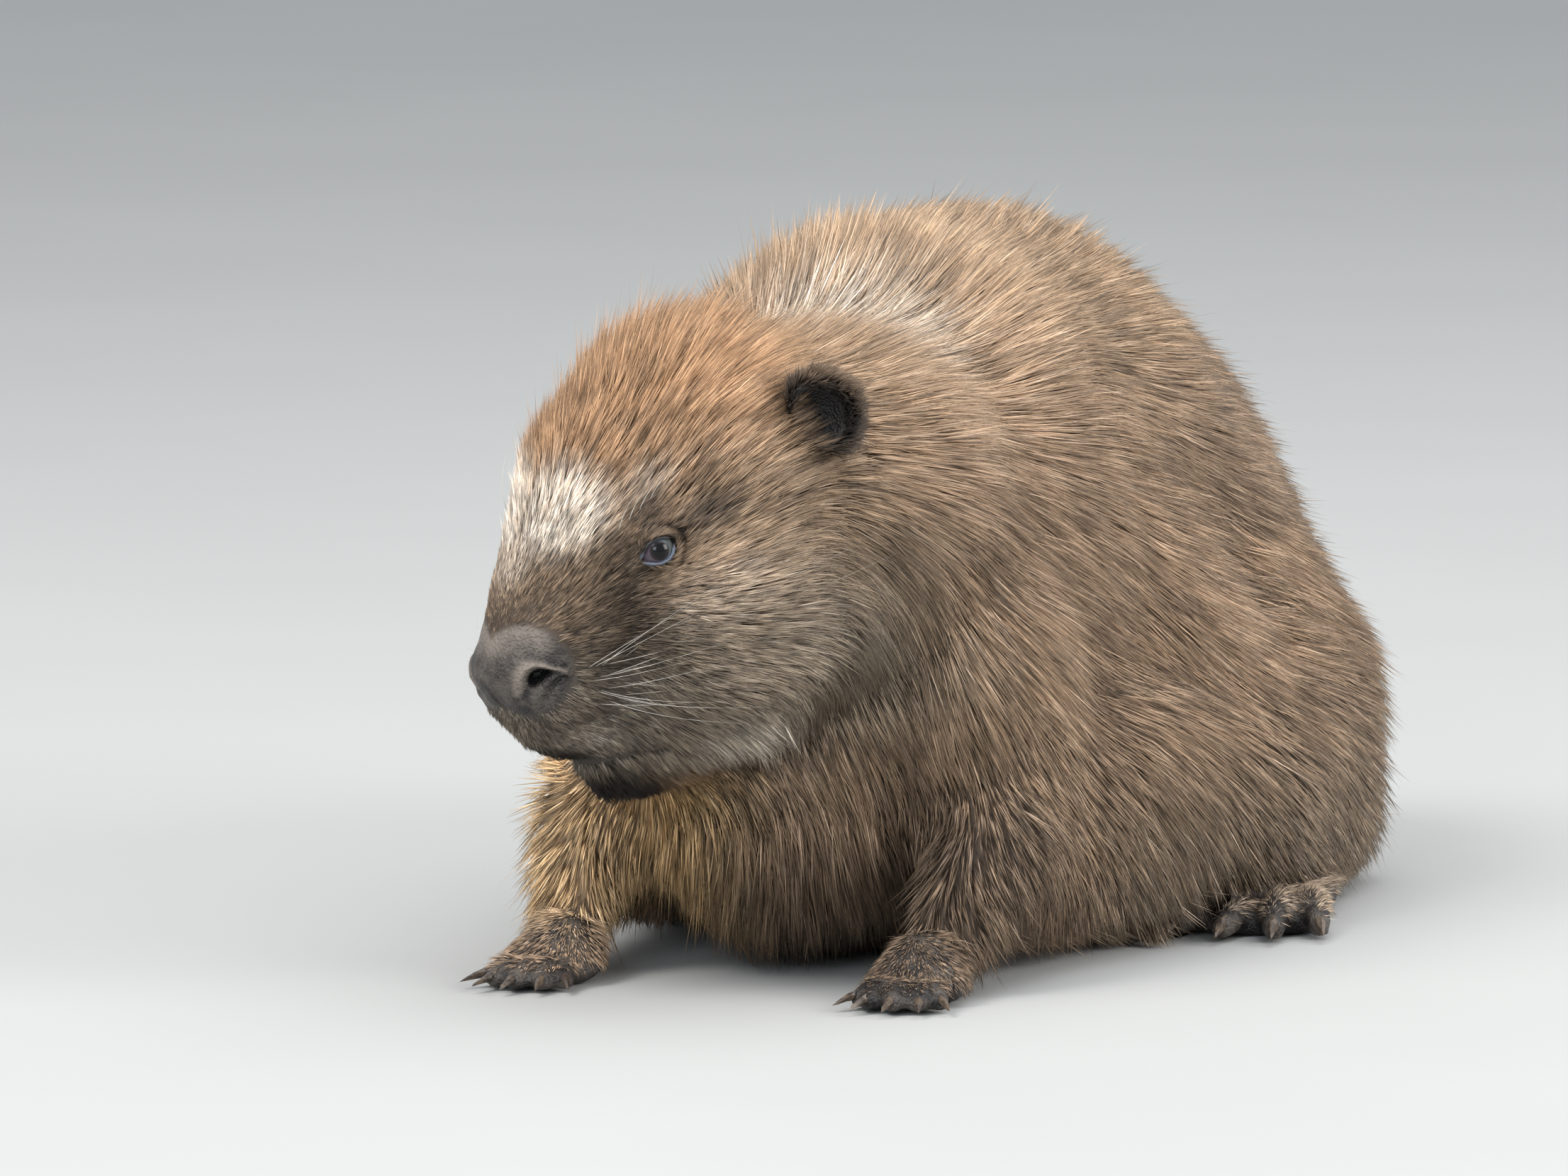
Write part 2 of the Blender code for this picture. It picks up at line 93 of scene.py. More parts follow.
def unit(vectors):
    """Each row at length one."""
    return vectors / np.maximum(np.linalg.norm(vectors, axis=-1, keepdims=True), 1e-12)


def ramp(low, high, values):
    """0 below low, 1 above high, and a soft rise between them."""
    t = np.clip((values - low) / (high - low), 0, 1)
    return t * t * (3 - 2 * t)


def ridge(values, height, middle, half_width):
    """A ridge so high at its middle, that falls softly to both sides."""
    return height * np.exp(-(((values - middle) / half_width) ** 2))


def read(data, name, width, kind=np.int32):
    """A mesh's own list under a name, as rows so wide."""
    values = np.empty(len(data) * width, kind)
    data.foreach_get(name, values)
    return values.reshape(-1, width)


def arrays(mesh):
    """A mesh's points, triangles and edges."""
    mesh.calc_loop_triangles()
    points = read(mesh.vertices, "co", 3, np.float32).astype(float)
    return points, read(mesh.loop_triangles, "vertices", 3), read(mesh.edges, "vertices", 2)


def outward(points, triangles):
    """Where the surface faces at each point."""
    a, b, c = (points[triangles[:, k]] for k in range(3))
    across = np.cross(b - a, c - a)
    total = np.zeros_like(points)
    for k in range(3):
        for axis in range(3):
            total[:, axis] += np.bincount(triangles[:, k], across[:, axis], len(points))
    return unit(total)


def evened(values, edges, times, share=1.0):
    """Values spread over the surface: each goes a share of the way to its neighbours' mean."""
    a, b = edges.T
    size = len(values)
    values = values.reshape(size, -1).copy()
    count = np.bincount(a, minlength=size) + np.bincount(b, minlength=size)
    for _ in range(times):
        mean = np.empty_like(values)
        for k in range(values.shape[1]):
            mean[:, k] = np.bincount(a, values[b, k], size) + np.bincount(b, values[a, k], size)
        values += share * (mean / count[:, None] - values)
    return values


def write(data, name, values, kind=np.float32):
    """Stores rows under a name in a mesh's own list."""
    data.foreach_set(name, np.asarray(values).astype(kind).ravel())


def placed(name, mesh):
    """A mesh as an object of the scene."""
    made = bpy.data.objects.new(name, mesh)
    bpy.context.scene.collection.objects.link(made)
    return made


def piece_of(name, material, points, faces, uv=None):
    """A smooth-shaded object from arrays of points, faces and the points' places on an unwrap."""
    mesh = bpy.data.meshes.new(name)
    mesh.vertices.add(len(points))
    write(mesh.vertices, "co", points)
    mesh.loops.add(faces.size)
    write(mesh.loops, "vertex_index", faces, np.int32)
    mesh.polygons.add(len(faces))
    write(mesh.polygons, "loop_start", np.arange(0, faces.size, faces.shape[1]), np.int32)
    mesh.update(calc_edges=True)
    mesh.shade_smooth()
    mesh.materials.append(material)
    if uv is not None:
        write(mesh.uv_layers.new(name="OFBake").data, "uv", uv[faces.ravel()])
    return placed(name, mesh)


def modified(obj):
    """An object's mesh with its modifiers applied."""
    return bpy.data.meshes.new_from_object(obj.evaluated_get(bpy.context.evaluated_depsgraph_get()))


def melted_flesh():
    """Every part of the flesh, swollen a little, melted into one surface."""
    whole = bmesh.new()
    for node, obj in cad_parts.items():
        if "claw" in node:
            continue
        swell = SEAM if node in NODE_PART else -EYE_SINKS
        part = bmesh.new()
        part.from_mesh(obj.data)
        bmesh.ops.remove_doubles(part, verts=part.verts, dist=1e-5)
        part.normal_update()
        for vertex in part.verts:
            vertex.co += vertex.normal * swell
        mesh = bpy.data.meshes.new("part")
        part.to_mesh(mesh)
        part.free()
        whole.from_mesh(mesh)
        bpy.data.meshes.remove(mesh)
    mesh = bpy.data.meshes.new("flesh")
    whole.to_mesh(mesh)
    whole.free()
    flesh = placed("flesh", mesh)
    melt = flesh.modifiers.new("melt", "REMESH")
    melt.mode = "VOXEL"
    melt.voxel_size = SKIN_GRAIN
    melted = modified(flesh)
    bpy.data.objects.remove(flesh)
    return melted


def largest_body(mesh):
    """Keeps the outer surface, without the hollows that the melting leaves inside."""
    bm = bmesh.new()
    bm.from_mesh(mesh)
    seen, bodies = set(), []
    for start in bm.verts:
        if start in seen:
            continue
        seen.add(start)
        body, edge = [start], [start]
        while edge:
            vertex = edge.pop()
            for link in vertex.link_edges:
                other = link.other_vert(vertex)
                if other not in seen:
                    seen.add(other)
                    body.append(other)
                    edge.append(other)
        bodies.append(body)
    bodies.sort(key=len)
    for body in bodies[:-1]:
        bmesh.ops.delete(bm, geom=body, context="VERTS")
    bmesh.ops.triangulate(bm, faces=bm.faces)
    bm.to_mesh(mesh)
    bm.free()
    return mesh


def nearest_parts(points):
    """The number of the part that each point lies on or under."""
    corners, faces, owners = [], [], []
    for node, name in NODE_PART.items():
        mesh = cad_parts[node].data
        first = len(corners)
        corners += [v.co.copy() for v in mesh.vertices]
        faces += [tuple(first + i for i in p.vertices) for p in mesh.polygons]
        owners += [PART_NAMES.index(name)] * len(mesh.polygons)
    tree = BVHTree.FromPolygons(corners, faces)
    return np.array([owners[tree.find_nearest(p)[2]] for p in points])


def one_of(part, *names):
    """Where a part's number is one of the named parts'."""
    return np.isin(part, [PART_NAMES.index(name) for name in names])


# The head's own frame: x forward, y to its left, z to the crown, in mm from the nose's tip.
HEAD_PITCH = math.radians(25)
EYE_IN_HEAD = (-66.5, 43, 26.5)
SIDES = (("left", 1), ("right", -1))
left_eye, right_eye = (sum(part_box(f"eye_{name}"), Vector()) / 2 for name, _ in SIDES)
head_left = (left_eye - right_eye).normalized()
up = Vector((0, 0, 1))
head_forward = head_left.cross(up).normalized() * math.cos(HEAD_PITCH) - up * math.sin(HEAD_PITCH)
head_crown = head_forward.cross(head_left).normalized()
head_axes = np.array((head_forward, head_left, head_crown))
between_eyes = (left_eye + right_eye) / 2
nose_tip = np.array(between_eyes - head_forward * EYE_IN_HEAD[0] * MM - head_crown * EYE_IN_HEAD[2] * MM)


def in_head(points):
    """Points in the head's frame, in millimetres."""
    return (points - nose_tip) @ head_axes.T / MM


def out_of_head(places):
    """Places of the head's frame, as points of the model."""
    return nose_tip + np.asarray(places, float) * MM @ head_axes


def on_side(place, side):
    """A place of the head's left half, taken to a side: 1 is left, -1 right."""
    return np.array(place) * (1, side, 1)


def both_sides(places):
    """Places with the head's right half folded onto the left."""
    return np.stack([places[:, 0], np.abs(places[:, 1]), places[:, 2]], 1)


def around(places, centre, reach):
    """1 at a centre, falling softly to 0 at its reach along each axis."""
    away = np.linalg.norm((places - centre) / reach, axis=1)
    return ramp(1.0, 0.25, away)


NOSE_PAD = ((-14.5, 12, 2), (16.2, 18, 16.2))  # the middle of its left half, and its reach


def nose_pad(places):
    """Where the bare leather of the nose is."""
    centre, reach = NOSE_PAD
    return ramp(1.12, 0.94, np.linalg.norm((both_sides(places) - centre) / reach, axis=1))


# How deep the skin lies: the coat is thin on the muzzle and round the eyes, and deep on the crown.
MUZZLE_SHARE = 0.45  # of the head's depth, at the nose
CROWN_DEEPER = 4.0
DEEPEST_BARE = 1.2  # on the bare parts
SHAPING_STEPS = 6

flesh = largest_body(melted_flesh())
points, triangles, edges = arrays(flesh)
part = nearest_parts(points)
is_head = one_of(part, "head", "lower_jaw", "nose", "ear")
is_bare = one_of(part, "nose", "fore_foot", "hind_foot", "ear", "tail")
places = in_head(points)
depth = np.array([PARTS[name][0] for name in PART_NAMES])[part]
behind_muzzle = ramp(-30, -75, places[:, 0])
head_depth = depth * (MUZZLE_SHARE + (1 - MUZZLE_SHARE) * behind_muzzle)
head_depth += CROWN_DEEPER * around(places, (-110, 0, 70), (60, 70, 50))
depth = np.where(is_head, head_depth, depth)
for _, side in SIDES:
    depth *= 1 - 0.55 * around(places, on_side(EYE_IN_HEAD, side), (22, 22, 22))
depth = evened(depth, edges, 30)[:, 0] * (1 - 0.85 * nose_pad(places))
depth = np.where(is_bare, np.minimum(depth, DEEPEST_BARE), depth)
depth = evened(depth, edges, 6)[:, 0]

# The melting's grain is smoothed away, hardly on the bare parts and most under the long coat.
soft = np.where(is_bare, 0.25, 1.0)[:, None]
for _ in range(5):
    points = evened(points, edges, 1, 0.55 * soft)
    points = evened(points, edges, 1, -0.5 * soft)
covered = ~is_bare & ~is_head
body = evened(covered.astype(float), edges, 12) ** 2
points = evened(points, edges, 32, 0.6 * body)
step = depth[:, None] / SHAPING_STEPS
for _ in range(SHAPING_STEPS):
    points -= outward(points, triangles) * step * MM
    points = evened(points, edges, 1, 0.5 * np.clip(step, 0, 1))

# The skin is coarser where the long coat hides it.
write(flesh.vertices, "co", points)
skin = placed("skin", flesh)
coarse = skin.vertex_groups.new(name="coarse")
coarse.add(covered.nonzero()[0].tolist(), 1.0, "REPLACE")
thin = skin.modifiers.new("thin", "DECIMATE")
thin.ratio = SKIN_TRIANGLES / len(triangles)
thin.vertex_group = "coarse"
thinned = modified(skin)
skin.modifiers.clear()
skin.vertex_groups.clear()
skin.data = thinned


def refine(mesh, centre, radius):
    """Halves the size of the skin's faces round a centre."""
    bm = bmesh.new()
    bm.from_mesh(mesh)
    centre = Vector(centre)
    near = {v for v in bm.verts if (v.co - centre).length < radius}
    cut = [e for e in bm.edges if e.verts[0] in near and e.verts[1] in near]
    bmesh.ops.subdivide_edges(bm, edges=cut, cuts=1, use_grid_fill=True, smooth=0.0)
    bmesh.ops.triangulate(bm, faces=bm.faces)
    bm.to_mesh(mesh)
    bm.free()


# The features that the skin itself makes, in the head's frame (mm). A ridge is its height, where it runs
# and its half width.
EYE_IN = 1.5  # how far the ball sits in
EYE_BALL = 6.3
EYE_OUT = (0.30, 0.93, 0.20)  # where an eye looks
LID_THICK = 0.9
LID_REACH = 15
LID_SLOPE = 4.6  # turns the opening's own measure into millimetres
OPENING = (5.6, 4.0, 4.2)  # half length, and half heights over and under the middle
CORNERS = (0.28, 0, 1.4)  # draws out the opening's corners
LID_FOLD = (0.7, 8.2, 1.5)
LID_CREASE = (0.5, 2.4, 0.5)
LID_RIM = (0.22, 0.45, 0.45)
NOSTRIL = (-15.8, 19.0, -0.2)
NOSTRIL_HALF = (4.9, 2.3)
NOSTRIL_OUT = (0.40, 0.91, 0.06)
NOSTRIL_REACH = 12
NOSTRIL_DEPTH = 5.5
WING = (1.7, 1.85, 0.5)  # the raised wing round the nostril
WING_GROOVE = (1.1, 3.3, 0.6)
LIP_LINE = (-42.0, 0.10)  # how high the mouth runs, and how it rises to the front
LIP_CREASE = 2.0
CLEFT_DEPTH = 1.5

for _, side in SIDES:
    for place, radius in ((EYE_IN_HEAD, 14), (EYE_IN_HEAD, 11), (NOSTRIL, 10), (NOSTRIL, 8)):
        refine(thinned, out_of_head(on_side(place, side)), radius * MM)

points, triangles, edges = arrays(thinned)
lid, lid_low, nostril_and_crease_shade, nostril_rim_highlight = np.zeros((4, len(points)))
lid_gap = np.full(len(points), 99.0)  # from the edge of the eye's opening (mm)


def local_axes(look, side):
    """Axes of a feature on a side of the head: to the front, upwards, and out."""
    out = unit(on_side(look, side))
    ahead = unit(np.array((1.0, 0, 0)) - out * out[0])
    return np.array((ahead, np.cross(ahead, out) * side, out))


eye_place = {}
for name, side in SIDES:
    # The lids: the skin is drawn over the ball, and let in where the eye opens.
    places = in_head(points)
    axes = local_axes(EYE_OUT, side)
    centre = on_side(EYE_IN_HEAD, side) - axes[2] * EYE_IN
    eye_place[name] = (centre, axes)
    u, v, w = axes @ (places - centre).T
    near = (u * u + v * v + w * w < LID_REACH**2) & (w > -7)
    half_length = OPENING[0] * (1 + ridge(v + 0.12 * u, *CORNERS))
    half_height = np.where(v > 0, OPENING[1], OPENING[2])
    gap = (np.sqrt((u / half_length) ** 2 + (v / half_height) ** 2) - 1) * LID_SLOPE
    off_axis = u * u + v * v
    over_ball = np.sqrt(np.maximum((EYE_BALL + LID_THICK) ** 2 - off_axis, 0.0))
    in_ball = np.sqrt(np.maximum(EYE_BALL**2 - off_axis, 0.0)) - 1.6
    away = ramp(0.3, 6.5, gap)
    target = over_ball * (1 - away) + w * away + ridge(v, *LID_FOLD) * ridge(u, 1, 0, 7)
    target += ridge(gap, *LID_RIM) - ridge(gap, *LID_CREASE) * (v > -2)
    target = np.where(gap < 0, in_ball + (target - in_ball) * ramp(-0.55, -0.05, gap), target)
    moved = places + axes[2] * (target - w)[:, None]
    points = np.where(near[:, None], out_of_head(moved), points)
    lid = np.where(near, ramp(2.1, 0.5, gap), lid)
    # The lower lid: its rim is grey, brightened by a painted reflection of the sky on the wet edge.
    lid_low = np.where(near, ramp(1.2, -1.0, v - 0.25 * u), lid_low)
    lid_gap = np.where(near, gap, lid_gap)
    # The nostril: a comma-shaped pit with a raised wing round it.
    places = in_head(points)
    axes = local_axes(NOSTRIL_OUT, side)
    u, v, w = axes @ (places - on_side(NOSTRIL, side)).T
    near = (u * u + v * v + w * w < NOSTRIL_REACH**2) & (w > -6)
    v = v + 0.10 * u + 0.045 * u * u - 0.4
    half_height = np.maximum(NOSTRIL_HALF[1] * (1 + 0.11 * u), 0.8)
    reach = np.sqrt((u / NOSTRIL_HALF[0]) ** 2 + (v / half_height) ** 2)
    wing = ridge(reach, *WING) * (0.6 + 0.4 * ramp(-1, 1.5, v))
    wing -= ridge(reach, *WING_GROOVE) * ramp(1.5, -1.5, v + 0.3 * u)
    moved = places + axes[2] * (wing - NOSTRIL_DEPTH * ramp(1.15, 0.45, reach))[:, None]
    points = np.where(near[:, None], out_of_head(moved), points)
    # The pit is painted near black: painted shade in its depth.
    nostril_and_crease_shade = np.maximum(nostril_and_crease_shade, near * ramp(1.25, 0.8, reach))
    # A painted highlight on the nostril's upper rim, where light from above catches the wing.
    nostril_rim_highlight = np.maximum(nostril_rim_highlight, near * ridge(reach, 1, 2.0, 0.6) * ramp(-0.8, 1.5, v))

# The mouth: a crease under the upper lip, and the cleft of the lip.
places = in_head(points)
lip = LIP_LINE[0] + LIP_LINE[1] * (places[:, 0] + 30)
crease = ridge(places[:, 2] - lip, 1, 0, 1.8) * ramp(-52, -40, places[:, 0])
facing = outward(points, triangles)
points -= facing * (crease * LIP_CREASE * MM)[:, None]
# The crease is painted near black as well: a painted shadow under the upper lip.
nostril_and_crease_shade = np.maximum(nostril_and_crease_shade, crease * 0.85)
places = in_head(points)
cleft = ridge(places[:, 1], 1, 0, 1.0) * ramp(2, -8, places[:, 2]) * (places[:, 0] > -34)
points -= facing * (cleft * ramp(-44, -38, places[:, 2]) * CLEFT_DEPTH * MM)[:, None]
points[:, 2] = np.maximum(points[:, 2], 0.0)
write(thinned.vertices, "co", points)
thinned.shade_smooth()
thinned.update()

# The ears are cups that open to the front and side; the bare parts are marked for the hide and the coat.
EAR_HOLLOW = (-138.2, 51.8, 42)
EAR_OPENS = math.radians(52)  # from straight ahead
places = in_head(points)
facing = outward(points, triangles)
part = nearest_parts(points)
ear_hollow = np.zeros(len(points))
for name, side in SIDES:
    cup = np.array((math.cos(EAR_OPENS), side * math.sin(EAR_OPENS), 0.0))
    low, high = (np.array(c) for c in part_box(f"ear_{name}"))
    in_box = (points > low - 2 * MM).all(1) & (points < high + 2 * MM).all(1)
    looks = facing @ head_axes.T @ cup
    from_ear = places - on_side(EAR_HOLLOW, side)
    off_axis = np.linalg.norm(from_ear - cup * (from_ear @ cup)[:, None], axis=1)
    hollow = in_box * one_of(part, "ear") * ramp(0.0, 0.5, looks) * ramp(14.2, 11.4, off_axis)
    ear_hollow = np.maximum(ear_hollow, hollow)
pad = nose_pad(places) * one_of(part, "head", "nose")
# The top of the nose pad, painted lighter as light from above falls on it.
nose_top = pad * ramp(4, 18, places[:, 2]) * ramp(-2, -14, places[:, 0])
bare = evened(one_of(part, "nose", "fore_foot", "hind_foot", "tail").astype(float), edges, 5)[:, 0]
bare = np.maximum.reduce((bare, lid, ear_hollow, pad))
scaly = evened(one_of(part, "tail").astype(float), edges, 8)[:, 0]

# The coat's patches (mm), each a tone, its strength, its centre and its reach: on the head for the left half
# in the head's frame, and on the body in the model's.
HEAD_PATCHES = (
    ("pale", 1.2, (-45, 15, 44), (24, 26, 19)),  # brow
    ("pale", 0.35, (-66, 36, 45), (18, 12, 8)),  # over the eye
    ("pale", 0.45, (-32, 0, 32), (16, 14, 14)),  # nose's bridge
    ("pale", 0.2, (-76, 46, 4), (34, 22, 18)),  # under the eye
    ("pale", 0.85, (-72, 44, -54), (40, 30, 22)),  # cheek's lower edge
    ("pale", 0.3, (-24, 16, -29), (15, 14, 11)),  # upper lip
    ("dusk", 0.75, (-50, 35, 24), (18, 15, 18)),  # in front of the eye
    ("dusk", 0.9, (-63, 39, 38), (14, 11, 9)),  # above the eye
    ("dusk", 0.9, (-80, 50, 30), (18, 12, 9)),  # behind the eye
    ("dusk", 0.4, (-66, 43, 27), (15, 13, 13)),  # round the eye
    ("dusk", 0.66, (-42, 30, 2), (28, 26, 22)),  # side of the muzzle
    ("dusk", 0.5, (-16, 0, 8), (22, 30, 22)),  # edge of the nose pad
    ("dusk", 0.55, (-24, 16, -20), (24, 26, 22)),  # whiskers' bed
    ("dusk", -1.0, (-23, 17, -30), (18, 15, 13)),  # upper lip, made lighter
    ("dusk", 1.0, (-14, 0, -36), (20, 22, 13)),  # under the nose
    ("dusk", 1.0, (-35, 0, -60), (24, 36, 24)),  # chin, partly its dark fur and partly painted shade under the muzzle
    ("dusk", 0.8, (-142, 55, 42), (16, 18, 24)),  # ear
    ("soot", 0.5, (-80, 51, 31), (13, 9, 6)),  # eye's hind corner
    ("soot", 0.9, (-14, 0, -36), (18, 22, 13)),  # under the nose
    ("soot", 1.6, (-31, 0, -62), (21, 34, 24)),  # chin, partly its dark fur and partly painted shade under the muzzle
    ("soot", 1.5, (-142, 54, 42), (21, 20, 22)),  # ear
    ("grey", 1.0, (-26, 10, -18), (36, 32, 30)),  # muzzle's front
)
BODY_PATCHES = (
    ("pale", 0.58, (0, -236, 234), (75, 32, 32)),  # nape, a painted highlight where light from above falls on the top of the neck
    ("dusk", 0.35, (16, -190, 245), (50, 15, 26)),  # behind it, a painted shade line
)


def markings(at):
    """How strongly each tone of the coat shows at points, painted highlights and shade among them."""
    head, body = in_head(at), at / MM
    x, y, z = body.T
    on_head = ramp(-175, -120, head[:, 0]) * ramp(-75, -45, head[:, 2])
    off_head = 1 - on_head
    marks = {mark: np.zeros(len(at)) for mark in ("pale", "dusk", "soot", "grey", "amber")}
    for mark, strength, centre, reach in HEAD_PATCHES:
        marks[mark] += strength * around(both_sides(head), centre, reach)
    for mark, strength, centre, reach in BODY_PATCHES:
        marks[mark] += strength * around(body, centre, reach)
    # The muzzle and lower flanks are greyer; the crown, the back's ridge and the right fore leg are warmer.
    marks["grey"] += on_head * ramp(20, -22, head[:, 2]) * 0.75
    marks["grey"] += 0.5 * ramp(90, 30, z) * ramp(-235, -160, y)
    # Painted light: the chest by the right fore leg made paler, as if lit by the sun from the left.
    marks["pale"] += 0.15 * around(body, (-74, -290, 55), (48, 60, 60)) * off_head
    fore_leg = ramp(-215, -275, y) * ramp(10, -50, x) * ramp(150, 90, z)
    marks["amber"] += on_head * ramp(25, 70, head[:, 2]) * 0.36
    # The right fore leg's orange fur, made brighter with painted sunlight from the left.
    marks["amber"] += fore_leg * ramp(16, 40, z) * off_head * 1.4
    marks["amber"] += 0.12 * ramp(190, 245, z) * off_head
    # Painted shade: the throat and chest darkened under the head, where its shadow falls.
    painted_shade_under_head = ramp(-235, -270, y) * ramp(-45, -25, x) * ramp(90, 50, z)
    marks["dusk"] += 0.5 * painted_shade_under_head * off_head
    return {"tan": on_head, **{mark: np.clip(value, 0, 1) for mark, value in marks.items()}}


def give(mesh, **values):
    """Stores values on a mesh's points, for its material to read."""
    for name, value in values.items():
        write(mesh.attributes.new(name, "FLOAT", "POINT").data, "value", value)


give(thinned, nose_top=nose_top, rim=nostril_rim_highlight, bare=bare, lid=lid, lid_low=lid_low, scaly=scaly,
     nostril=nostril_and_crease_shade, hollow=ear_hollow, **markings(points))


class Shade:
    """A socket of a material's nodes, on which sums read as plain sums."""

    def __init__(self, tree, socket=None):
        self.tree = tree
        self.socket = socket

    def make(self, kind, settings, sockets, out=0):
        """A new node's output: first its settings, then its sockets' values or links."""
        node = self.tree.nodes.new("ShaderNode" + kind)
        for name, value in settings.items():
            setattr(node, name, value)
        for name, value in sockets.items():
            if isinstance(value, Shade):
                self.tree.links.new(value.socket, node.inputs[name])
            else:
                node.inputs[name].default_value = value
        return Shade(self.tree, node.outputs[out])

    def maths(self, operation, first, second):
        """A Math node on two values."""
        return self.make("Math", {"operation": operation}, {0: first, 1: second})

    def __add__(self, other):
        return self.maths("ADD", self, other)

    __radd__ = __add__

    def __sub__(self, other):
        return self.maths("SUBTRACT", self, other)

    def __rsub__(self, other):
        return self.maths("SUBTRACT", other, self)

    def __mul__(self, other):
        return self.maths("MULTIPLY", self, other)

    __rmul__ = __mul__

    def __mod__(self, other):
        return self.maths("MODULO", self, other)

    def kept(self):
        """The value held between 0 and 1."""
        return self.make("Clamp", {}, {"Value": self})

    def over(self, low, high):
        """0 below low and 1 above high, with a soft rise."""
        return self.make("MapRange", {"interpolation_type": "SMOOTHSTEP"},
                         {"Value": self, "From Min": low, "From Max": high})

    def blend(self, kind, factor, first, second):
        """Two colours in a Mix node: its sockets 6 and 7, and its output 2."""
        return self.make("Mix", {"data_type": "RGBA", "blend_type": kind},
                         {0: factor, 6: first, 7: second}, out=2)

    def mixed(self, first, second):
        """The first colour where this value is 0, and the second where it is 1."""
        return self.blend("MIX", self, first, second)

    def tinted(self, red, green, blue):
        """This colour multiplied by another."""
        return self.blend("MULTIPLY", 1.0, self, (red, green, blue, 1.0))

    def held(self, name):
        """A value stored on the mesh's points."""
        return self.make("Attribute", {"attribute_name": name}, {}, out="Fac")

    def pattern(self, kind, scale, **sockets):
        """A pattern on the model, so many times to the metre."""
        place = self.make("TexCoord", {}, {}, out="Object")
        return self.make(kind, {}, {"Vector": place, "Scale": scale, **sockets})

    def noise(self, scale, detail=2.0, rough=0.5):
        """Soft random patches."""
        return self.pattern("TexNoise", scale, Detail=detail, Roughness=rough)

    def bump(self, height, depth):
        """Relief of a height from 0 to 1, so deep in metres."""
        return self.make("Bump", {}, {"Height": height, "Distance": depth, "Strength": 1.0})

    def feed(self, name, value):
        """Links a value to a socket of the material's shader."""
        self.tree.links.new(value.socket, self.tree.nodes["Principled BSDF"].inputs[name])


def finish(name, roughness, shine=0.5):
    """A new material, and a Shade to build it from."""
    material = bpy.data.materials.new(name)
    material.use_nodes = True
    inputs = material.node_tree.nodes["Principled BSDF"].inputs
    inputs["Roughness"].default_value = roughness
    inputs["Specular IOR Level"].default_value = shine
    return material, Shade(material.node_tree)


def tone(red, green, blue):
    """A colour as seen, 0 to 255, as the light that it reflects."""
    return tuple(((c / 255 + 0.055) / 1.055) ** 2.4 if c > 10 else c / 255 / 12.92
                 for c in (red, green, blue)) + (1.0,)


# The coat's tones, shared by skin and hair.
BROWN = tone(184, 160, 137)
TAN = tone(158, 138, 117)
# AMBER is the orange off the head; its brightness on the right fore leg is partly painted sunlight.
AMBER = tone(246, 210, 158)
RUST = tone(220, 165, 112)
GREY = tone(164, 155, 142)
PALE = tone(250, 243, 233)
DUSK = tone(76, 67, 60)
SOOT = tone(44, 39, 37)


def coat_tone(shade, streak=1.0):
    """The coat's colour from the mesh's own markings, in streaks where a streak is given."""
    colour = shade.held("tan").mixed(BROWN, TAN)
    colour = shade.held("grey").mixed(colour, GREY)
    colour = shade.held("amber").mixed(colour, shade.held("tan").mixed(AMBER, RUST))
    colour = (shade.held("pale") * streak).kept().mixed(colour, PALE)
    colour = (shade.held("dusk") * streak).kept().mixed(colour, DUSK)
    return shade.held("soot").mixed(colour, SOOT)


# Bare leather, worn in mottles, with painted light from above on the nose's top and the nostrils' upper rims;
# and shaded skin under the coat.
LEATHER = tone(33, 29, 28)
LEATHER_WORN_AND_LIT = tone(128, 117, 107)
# Pale blue-grey of the lower lid's rim: partly its own grey, partly a painted sky reflection.
LID_GREY = tone(102, 108, 120)
LID_DARK = tone(44, 40, 40)
TAIL_GREY = tone(66, 62, 62)
EAR_DARK = tone(24, 21, 21)
# Near black for painted shade in the nostrils and the mouth's crease.
NOSTRIL_BLACK = tone(14, 13, 13)

hide, shade = finish("hide", 0.7, 0.35)
under_coat = coat_tone(shade).tinted(0.22, 0.20, 0.19)
wear_and_light = shade.noise(90, 4, 0.6).over(0.38, 0.66)
# Mottled wear, plus painted light on the nose's top and the nostrils' upper rims.
wear_and_light = (wear_and_light * 0.36 + shade.held("nose_top") * 0.74 + shade.held("rim") * 0.8).kept()
leather = wear_and_light.mixed(LEATHER, LEATHER_WORN_AND_LIT)
leather = shade.held("scaly").mixed(leather, shade.noise(60, 3).over(0.35, 0.7).mixed(TAIL_GREY, LEATHER))
colour = shade.held("bare").mixed(under_coat, leather)
# Lids dark above; the lower rim pale blue-grey, partly a painted sky reflection on its wet edge.
colour = shade.held("lid").mixed(colour, shade.held("lid_low").mixed(LID_DARK, LID_GREY))
colour = shade.held("hollow").mixed(colour, EAR_DARK)
# Painted shade: the nostrils' pits and the mouth's crease near black.
colour = shade.held("nostril").mixed(colour, NOSTRIL_BLACK)
shade.feed("Base Color", colour)
grain = shade.pattern("TexVoronoi", 900).over(0.0, 0.75) * 0.6 + shade.noise(420, 3) * 0.6
shade.feed("Normal", shade.bump(grain * (shade.held("bare") - shade.held("lid")), 0.6 * MM))
shade.feed("Roughness", 0.72 - shade.held("bare") * 0.22)
thinned.materials.clear()
thinned.materials.append(hide)

# The skin's own unwrap, which the coat's tufts share for their colours.
bpy.context.view_layer.objects.active = skin
skin.select_set(True)
bpy.ops.object.mode_set(mode="EDIT")
bpy.ops.mesh.select_all(action="SELECT")
bpy.ops.uv.smart_project(angle_limit=math.radians(66), island_margin=0.002)
bpy.ops.object.mode_set(mode="OBJECT")
skin.select_set(False)
thinned.uv_layers[0].name = "OFBake"

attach(skin, "root")
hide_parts(*NODE_PART)

